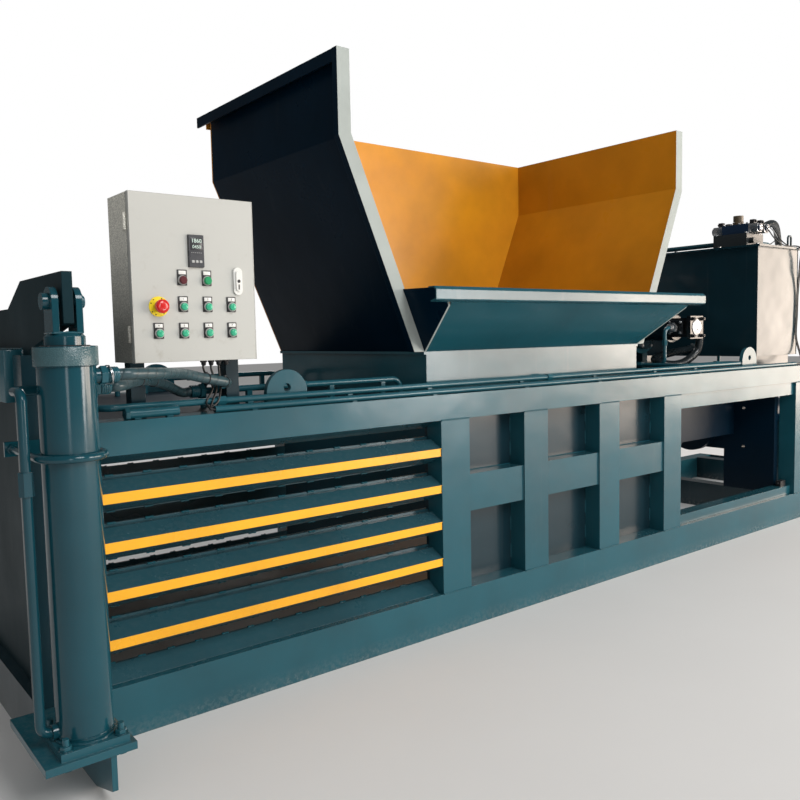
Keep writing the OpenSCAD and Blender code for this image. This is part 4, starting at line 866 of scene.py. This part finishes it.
def layCables():
    cable = {"radius": 3.5, "panelRadius": 3.4, "plugY": -470, "plugX": (4288, 4373)}
    gland = {"x": (560, 586, 612, 638), "y": -580, "nut": 19}
    conduit = {"y": -626, "z": 967, "from": 292, "to": 449, "radius": 15, "feet": (310, 410)}
    top, y = tank["top"], cable["plugY"]
    routes = []
    for i, startX in enumerate(cable["plugX"]):
        end, railY = tank["end"] + i * 16, near + 20 + i * 8
        routes.append([
            (startX, y, top + 132), (startX, y - 30, top + 132), (4350 + i * 70, y - 55, top + 60),
            (4430 + i * 50, y - 72, top + 24), (end - 100, y - 80, top + 20), (end - 50, y - 92, top + 22),
            (end - 34, -584, top - 2), (end - 30, -576, top - 100), (end - 20, -560, top - 260),
            (end - 22, -558, top - 400), (end - 30, -559, top - 540), (end - 24, -584, 1020),
            (end - 70, -621, 970.3), (4470, railY, 961.3), (4410, railY, 961.3),
        ])
    dressed = hoses("controlCables", routes, cable["radius"], cableSheath, steps=8, sides=10)
    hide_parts("control_cables")
    loose = []
    top, y = panel["z"], gland["y"]
    for i, x in enumerate(gland["x"][:3]):
        loose.append([(x, y, top), (x, y, 1085), (x + 22 - 12 * i, -592, 1030), (x - 10 - 6 * i, -612, 985),
                      (557, -631 + i * 5, 963), (590, -630 + i * 4, 961)])
    hoses("panelCables", loose, cable["panelRadius"], cableSheath, steps=8, sides=10)
    glands = []
    for x in gland["x"]:
        glands.append(hexagon((x, y, top), (0, 0, -1), gland["nut"], 7))
        glands.append(turned([(7, 8), (14, 7.6), (18, 5)], (x, y, top), (0, 0, -1), 18))
    piece("cableGlands", glands, blackPlastic)
    start, end, y, z = conduit["from"], conduit["to"], conduit["y"], conduit["z"]
    short = [pipe([(start, y, z), (end, y, z)], conduit["radius"], 24)]
    short.append(hexagon((start - 10, y, z), alongX, 34, 14))
    short += [block((x, y - 8, deck + 0.2), (x + 20, y + 8, deck + 5)) for x in conduit["feet"]]
    piece("shortConduit", short, tealEnamel)
    piece("conduitMouth", [disc((end - 0.4, y, z), alongX, 12.5, 0.8)], blackPlastic)


def dressValve():
    valve = {"x": (4288, 4373), "ends": ((-400, -1), (-230, 1)), "low": 1770, "top": 1824, "coil": 62,
             "boltY": (-390, -340, -290, -240), "footX": (4242, 4258, 4402, 4418), "footY": (-398, -202)}
    coils, caps, plugs, bolts = [], [], [], []
    middle, top = (valve["low"] + valve["top"]) / 2, valve["top"]
    for x in valve["x"]:
        for y, way in valve["ends"]:
            far = y + way * valve["coil"]
            coils.append(block((x - 27, min(y, far), valve["low"]), (x + 27, max(y, far), top), 5))
            caps.append(turned([(0, 17), (9, 17), (12, 13), (12, 5)], (x, far, middle), (0, way, 0)))
            plugY = y + way * 18
            plugs.append(block((x - 15, plugY - 15, top), (x + 15, plugY + 15, top + 26), 3))
            plugs.append(turned([(0, 8), (9, 8), (13, 5)], (x, y + way * 30, top + 14), (0, way, 0), 14))
        for y in valve["boltY"]:
            for dx in (-20, 20):
                bolts += socketBolt((x + dx, y, top + 3), upward, 8)
    piece("valveCoils", coils, zincSteel)
    piece("valveCoilCaps", caps, chrome)
    piece("valvePlugs", plugs, blackPlastic)
    for x in valve["footX"]:
        for y in valve["footY"]:
            bolts += socketBolt((x, y, valve["low"] - 3), upward, 9)
    piece("valveBolts", bolts, zincSteel)
    profile = [(0, 31), (4, 33), (20, 33), (24, 30), (24, 24), (30, 22), (38, 30), (52, 30), (58, 20)]
    piece("breatherCap", [turned(profile, (4330, -300, top + 2), upward, 28)], brownCap)
    route = [(4315, -465, 1797), (4315, -500, 1800), (4360, -520, 1760), (4420, -500, 1730),
             (4470, -420, 1700), (4500, -350, 1690)]
    hoses("signalCable", [route], 3.0, greyCable, steps=10, sides=8)


def dressTank():
    lid = {"x": (4112, 4347, 4583), "y": (-540, -300, 0, 300, 540), "bolt": 10, "weld": 2.6, "rimWeld": 2.4}
    bolts = []
    for x in lid["x"]:
        for y in lid["y"]:
            if x != lid["x"][1] or abs(y) == lid["y"][-1]:
                bolts += bolt((x, y, tank["lidTop"]), upward, lid["bolt"])
    piece("lidBolts", bolts, zincSteel)
    low, high, y = tank["low"] + 1, tank["top"] - 1, tank["y"]
    left, right = tank["start"] + 1, tank["end"] - 1
    welds = [beadZ(x, y - 0.5, low, high, lid["weld"]) for x in (left, right)]
    welds.append(beadX(left + 1, right - 2, y - 1, high, lid["rimWeld"]))
    piece("tankWelds", welds, steelBlueShadeEnamel)


def dressPump():
    parts = {"bolts": 48, "bellRing": 112, "bellY": -96, "portHalf": 45, "portHigh": 44}
    x, y, z = pump["x"], pump["y"], pump["z"]
    cover = [turned([(0, 47), (3, 47), (4.5, 44)], (x, y - 0.2, z), outward, 40)]
    cover += [turned([(0, 30), (4, 30), (5.5, 27)], (x + side * 18, y, z), outward, 32) for side in signs]
    cover.append(turned([(4, 14), (7, 14), (8, 12)], (x, y, z), outward))
    piece("pumpCover", cover, machinedCover)
    bolts, sockets = [], []
    for sx, sz in corners4:
        boltX, boltZ = x + sx * parts["bolts"], z + sz * parts["bolts"]
        bolts += socketBolt((boltX, y - 9.5, boltZ), outward, 11)
        sockets.append(disc((boltX, y - 15.2, boltZ), outward, 4.6, 0.8, 12))
    piece("pumpBolts", bolts, blackPlastic)
    piece("boltSockets", sockets, zincSteel)
    portY, half, high = y + 90, parts["portHalf"], parts["portHigh"]
    fittings = [hexagon((x - 95, portY, z), (-1, 0, 0), 50, 22)]
    fittings.append(turned([(22, 19), (44, 19), (48, 14)], (x - 95, portY, z), (-1, 0, 0)))
    for side, dz in corners4:
        for dy in (34, -34):
            fittings += socketBolt((x + side * 74, portY + dy, z + dz * 30), (side, 0, 0), 10)
    piece("pumpFittings", fittings, zincSteel)
    flanges = []
    for start, end in ((-78, -66), (64, 77)):
        flanges.append(block((x + start, portY - half, z - high), (x + end, portY + half, z + high), 5))
    piece("pumpFlanges", flanges, pumpEnamel)
    around = []
    for k in range(8):
        spot = aroundY((x, parts["bellY"], z), parts["bellRing"], math.radians(22.5 + 45 * k))
        around += bolt(spot, outward, 10)
    piece("bellBolts", around, zincSteel)


def dressMotor():
    motor = {"y": -70, "finRing": 148, "fins": 48, "finHigh": 13, "finHalf": 1.6, "finLong": 350,
             "finTip": 0.6, "rings": (30, 50, 70, 90, 110), "spokes": (0.4, 1.97, 3.54, 5.11), "grille": 2.4}
    x, y, z = pump["x"], motor["y"], pump["z"]
    long = Vector((0, motor["finLong"], 0))
    faces = [(0, 1, 2, 3), (7, 6, 5, 4), (0, 4, 5, 1), (1, 5, 6, 2), (2, 6, 7, 3), (3, 7, 4, 0)]
    fins = []
    for k in range(motor["fins"]):
        a = 2 * math.pi * k / motor["fins"]
        boxOrFeet = abs(math.sin(a)) > 0.86 or (math.sin(a) < -0.45 and abs(math.cos(a)) > 0.4)
        if boxOrFeet:
            continue
        low = Vector(aroundY((x, y + 30, z), motor["finRing"], a))
        out = Vector((math.cos(a), 0, math.sin(a))) * motor["finHigh"]
        across = Vector((-math.sin(a), 0, math.cos(a))) * motor["finHalf"]
        tip = across * motor["finTip"]
        points = [low - across, low + across, low + tip + out, low - tip + out]
        points = [tuple(p) for p in points] + [tuple(p + long) for p in points]
        fins.append((points, faces))
    piece("motorFins", fins, tealEnamel)
    ends = [turned([(0, 152), (14, 153), (22, 151)], (x, y + 2, z), (0, 1, 0), 64)]
    ends.append(turned([(0, 152), (16, 153)], (x, y + 384, z), (0, 1, 0), 64))
    ends.append(block((x - 64, y + 126, z + 196), (x + 64, y + 274, z + 204), 3))
    piece("motorEnds", ends, tealEnamel)
    back = y + 500.5
    grille = [loopRing((x, back, z), (0, 1, 0), r, motor["grille"]) for r in motor["rings"]]
    for a in motor["spokes"]:
        grille.append(pipe([aroundY((x, back, z), r, a) for r in (24, 120)], motor["grille"], 8))
    piece("fanGrille", grille, tealEnamel)
    bolts = []
    for sx in signs:
        for sy in signs:
            bolts += socketBolt((x + sx * 54, y + 200 + sy * 64, z + 203), upward, 6)
        for dy in (90, 300):
            bolts += bolt((x + sx * 118, y + dy, deck + 15), upward, 12)
    piece("motorBolts", bolts, zincSteel)


def onPanel(spot, depth):  # a place in front of the box's near face, from the door's lower left corner
    return panel["x"] + spot[0], near - depth, panel["z"] + spot[1]


def plate(spot, x, z, depth, edge=0.0):
    # A block by its ranges from a spot on the door; depth is how far its front and back stand out
    low, high = onPanel(spot, depth[0]), onPanel(spot, depth[1])
    return block((low[0] + x[0], low[1], low[2] + z[0]), (high[0] + x[1], high[1], high[2] + z[1]), edge)


def dressButtons():
    # Label frames with numerals, bezels and domes; two pilot lamps stand above the buttons
    pilots = [(155, 246), (235, 246)]
    buttons = [(155, 166), (235, 166), (315, 166), (75, 86), (155, 86), (235, 86), (315, 86)]
    ring = [(0, 14.4), (1.2, 14.4), (2.6, 13.4), (2.6, 11.4), (0.4, 11.2)]
    dome = [(0, 10.8), (1.2, 10.6), (2.4, 9.2), (3.1, 6.0), (3.4, 2.0)]
    lampRing = [(0, 14.6), (3, 14.6), (5, 13.2), (5, 12.6)]
    body = "cabinet_door"
    spots = pilots + buttons
    frames = [plate(spot, (-15.8, 15.8), (-15.8, 31.8), (3.2, 0.1), 1.5) for spot in spots]
    inserts = [plate(spot, (-11.5, 11.5), (17.5, 28.5), (3.9, 3.0), 0.3) for spot in spots]
    bezels = [turned(ring, onPanel(spot, 7.4), outward, 32) for spot in buttons]
    bezels += [turned(lampRing, onPanel(spot, 3.2), outward, 32) for spot in pilots]
    for number, spot in enumerate(buttons, 1):
        domed = turned(dome, onPanel(spot, 13.8), outward, 28)
        piece("buttonDome_%d" % number, [domed], greenPlastic, "button_%d" % number)
        label = onPanel((spot[0], spot[1] + 23), 4.0)
        numeral("keyNumber_%d" % number, str(number), label, 8.5, blackPlastic, body)
    piece("labelFrames", frames, blackPlastic, body)
    piece("labelInserts", inserts, whitePlastic, body)
    piece("buttonBezels", bezels, paleGrey, body)


def dressStop():
    stop = {"spot": (78, 166), "arrowRing": 11, "markRing": 25.5, "markHalf": 1.7}
    head = [(0, 20.3), (3, 20.6), (8, 20.2), (11.5, 18.4), (14, 14.5), (15.2, 8.0), (15.6, 2.0)]
    piece("stopHead", [turned(head, onPanel(stop["spot"], 23), outward, 40)], redPlastic, "stop_button")
    arrows, middle = [], onPanel(stop["spot"], 37.0)
    for k in range(3):
        first = 2 * math.pi * k / 3 + 0.3
        arrows.append(pipe([aroundY(middle, stop["arrowRing"], first + t * 0.25) for t in range(5)], 0.8, 6))
    piece("stopArrows", arrows, whitePlastic, "stop_button")
    marks, half = [], stop["markHalf"]
    for k in (1, 2, 4, 5, 7, 8, 10, 11):
        x, y, z = aroundY(onPanel(stop["spot"], 0), stop["markRing"], 2 * math.pi * k / 12 + 0.13)
        marks.append(block((x - half, y - 2.5, z - half), (x + half, y - 1.9, z + half)))
    piece("stopRingMarks", marks, blackPlastic, "cabinet_door")


def dressInstrument():
    meter = {"spot": (202, 335), "upper": ("1860", 30, 17), "lower": ("0450", 12, 14)}
    body, spot = "cabinet_door", meter["spot"]
    piece("instrumentBezel", [plate(spot, (-25.5, 25.5), (-49.5, 49.5), (3.5, 0.1), 2.0)], greyPlastic, body)
    piece("instrumentWindow", [plate(spot, (-19, 19), (2, 40), (10.2, 8.6), 0.6)], glassBlack, body)
    for name, (text, dz, size) in (("displayUpper", meter["upper"]), ("displayLower", meter["lower"])):
        numeral(name, text, onPanel((spot[0], spot[1] + dz), 10.4), size, displayGlow, body)
    keys = [plate(spot, (x, x + 3), (-6, -4.6), (9.5, 8.9)) for x in (-17, -11, -5, 1, 7, 13)]
    keys += [plate(spot, (x, x + 9), (-36, -28), (10.6, 8.8), 1.2) for x in (-17, -4.5, 8)]
    piece("instrumentKeys", keys, paleGrey, body)


def dressDoor():
    lock, wide, high = (340, 247), panel["wide"], panel["high"]
    hole = disc(onPanel(lock, 11.4), outward, 5.2, 0.7, 20)
    slot = plate(lock, (-2, 2), (-26, -10), (11.9, 11.2))
    piece("lockHole", [hole, slot], blackPlastic, "door_lock")
    sides = ((-0.6, 3), (wide - 3, wide + 0.6))
    folds = [plate((0, 0), x, (-0.6, high + 0.6), (0.4, -20), 1.2) for x in sides]
    piece("doorFolds", folds, doorPaint, "cabinet_door")
    across, upright = (3, wide - 3), (8, high - 8)
    strips = [(across, (3, 8)), (across, (high - 8, high - 3))]
    strips += [((3, 8), upright), ((wide - 8, wide - 3), upright)]
    piece("doorGasket", [plate((0, 0), x, z, (-20, -23.4)) for x, z in strips], blackPlastic, "cabinet_door")


weldFrame()
dressLifts()
dressGate()
print("welds, lift and gate dressed")
layHoses()
layMainHose()
laySuctionHose()
layCables()
print("hoses and cables laid")
dressValve()
dressTank()
dressPump()
dressMotor()
print("valve, tank, pump and motor dressed")
dressButtons()
dressStop()
dressInstrument()
dressDoor()
print("control box dressed")

# Studio


def makeFloor():
    ground = {"colour": (0.78, 0.775, 0.765), "half": 30.0, "drop": 0.0005, "cloudScale": 1.5, "shade": 0.94}
    mesh = bpy.data.meshes.new("studioFloor")
    corners = [(x * ground["half"], y * ground["half"], 0) for x, y in ((-1, -1), (1, -1), (1, 1), (-1, 1))]
    mesh.from_pydata(corners, [], [(0, 1, 2, 3)])
    floor = show("studioFloor", mesh)
    floor.location.z = -ground["drop"]
    material, tree, shader, point = newMaterial("paleFloor", roughness=0.75)
    clouds = speckle(tree, point, ground["cloudScale"], 5.0)
    shade = mixed(tree, clouds, ground["colour"], scaled(ground["colour"], ground["shade"]))
    wire(tree, shader, Base_Color=shade)
    mesh.materials.append(material)


def makeWorld():
    # White to the camera, softer as light and as reflection
    sky = {"ambient": 0.37, "mirror": 0.12}
    world = bpy.data.worlds.new("studioWorld")
    bpy.context.scene.world = world
    world.use_nodes = True
    tree = world.node_tree
    tree.nodes.clear()
    path = add(tree, "LightPath").outputs
    direct = maths(tree, "MAXIMUM", path["Is Camera Ray"], path["Is Transmission Ray"])
    glossy = path["Is Glossy Ray"]
    even = times(tree, maths(tree, "SUBTRACT", 1.0, glossy), sky["ambient"])
    even = maths(tree, "ADD", times(tree, glossy, sky["mirror"]), even)
    background = add(tree, "Background", Color=(1, 1, 1, 1), Strength=maths(tree, "MAXIMUM", direct, even))
    add(tree, "OutputWorld", Surface=background.outputs[0])


lamps = {  # name: spot, aim, size, watts, colour
    "keyLight": ((-0.6, -8.4, 7.0), (0.0, 0.0, 0.8), (4.0, 4.0), 500, (1, 1, 1)),
    "windowLight": ((8.5, -4.6, 1.75), (0.5, -1.6, 1.0), (4.5, 3.4), 400, (1.0, 0.84, 0.70)),
    "doorLight": ((7.2, -7.2, 1.45), (7.2, 0.0, 1.45), (5.2, 2.1), 300, (1.0, 0.85, 0.73)),
    "leftStrip": ((-4.9, -8.6, 2.1), (-2.7, -0.9, 1.0), (1.3, 4.0), 45, (1, 1, 1)),
    "rightStrip": ((3.8, -7.1, 2.1), (-2.7, -0.9, 1.0), (1.5, 4.0), 190, (1.0, 0.96, 0.92)),
    "backLight": ((5.0, 7.5, 6.5), (0.5, 0.0, 1.2), (5.0, 3.0), 300, (1, 1, 1)),
}


def makeLamps():
    for name, (spot, aim, size, watts, colour) in lamps.items():
        lamp = bpy.data.lights.new(name, "AREA")
        lamp.shape = "RECTANGLE"
        lamp.size, lamp.size_y = size
        lamp.energy = watts
        lamp.color = colour
        holder = show(name, lamp)
        holder.location = spot
        holder.rotation_mode = "QUATERNION"
        holder.rotation_quaternion = (Vector(aim) - Vector(spot)).to_track_quat("-Z", "Y")
        holder.visible_camera = False


def makeCamera():
    # Angles in degrees, as the photograph was taken; the focal length is in its pixels
    shot = {"spot": (-3.305, -2.986, 1.184), "yaw": 38.496, "pitch": 4.601, "roll": 1.1443, "focal": 806.03,
            "pixels": 800, "sensor": 36, "near": 0.05, "far": 200}
    yaw, pitch, roll = (math.radians(shot[k]) for k in ("yaw", "pitch", "roll"))
    forward = Vector((math.sin(yaw) * math.cos(pitch), math.cos(yaw) * math.cos(pitch), -math.sin(pitch)))
    level = Vector((math.cos(yaw), -math.sin(yaw), 0))
    down = forward.cross(level)
    right = math.cos(roll) * level + math.sin(roll) * down
    up = -(-math.sin(roll) * level + math.cos(roll) * down)
    camera = show("photoCamera", bpy.data.cameras.new("photoCamera"))
    turn = Matrix((right, up, -forward)).transposed()
    camera.matrix_world = Matrix.Translation(shot["spot"]) @ turn.to_4x4()
    camera.data.sensor_width = shot["sensor"]
    camera.data.lens = shot["focal"] * shot["sensor"] / shot["pixels"]
    camera.data.clip_start = shot["near"]
    camera.data.clip_end = shot["far"]
    bpy.context.scene.camera = camera


makeFloor()
makeWorld()
makeLamps()
makeCamera()
bpy.context.scene.view_settings.view_transform = "Standard"
print("studio, lights and camera set")
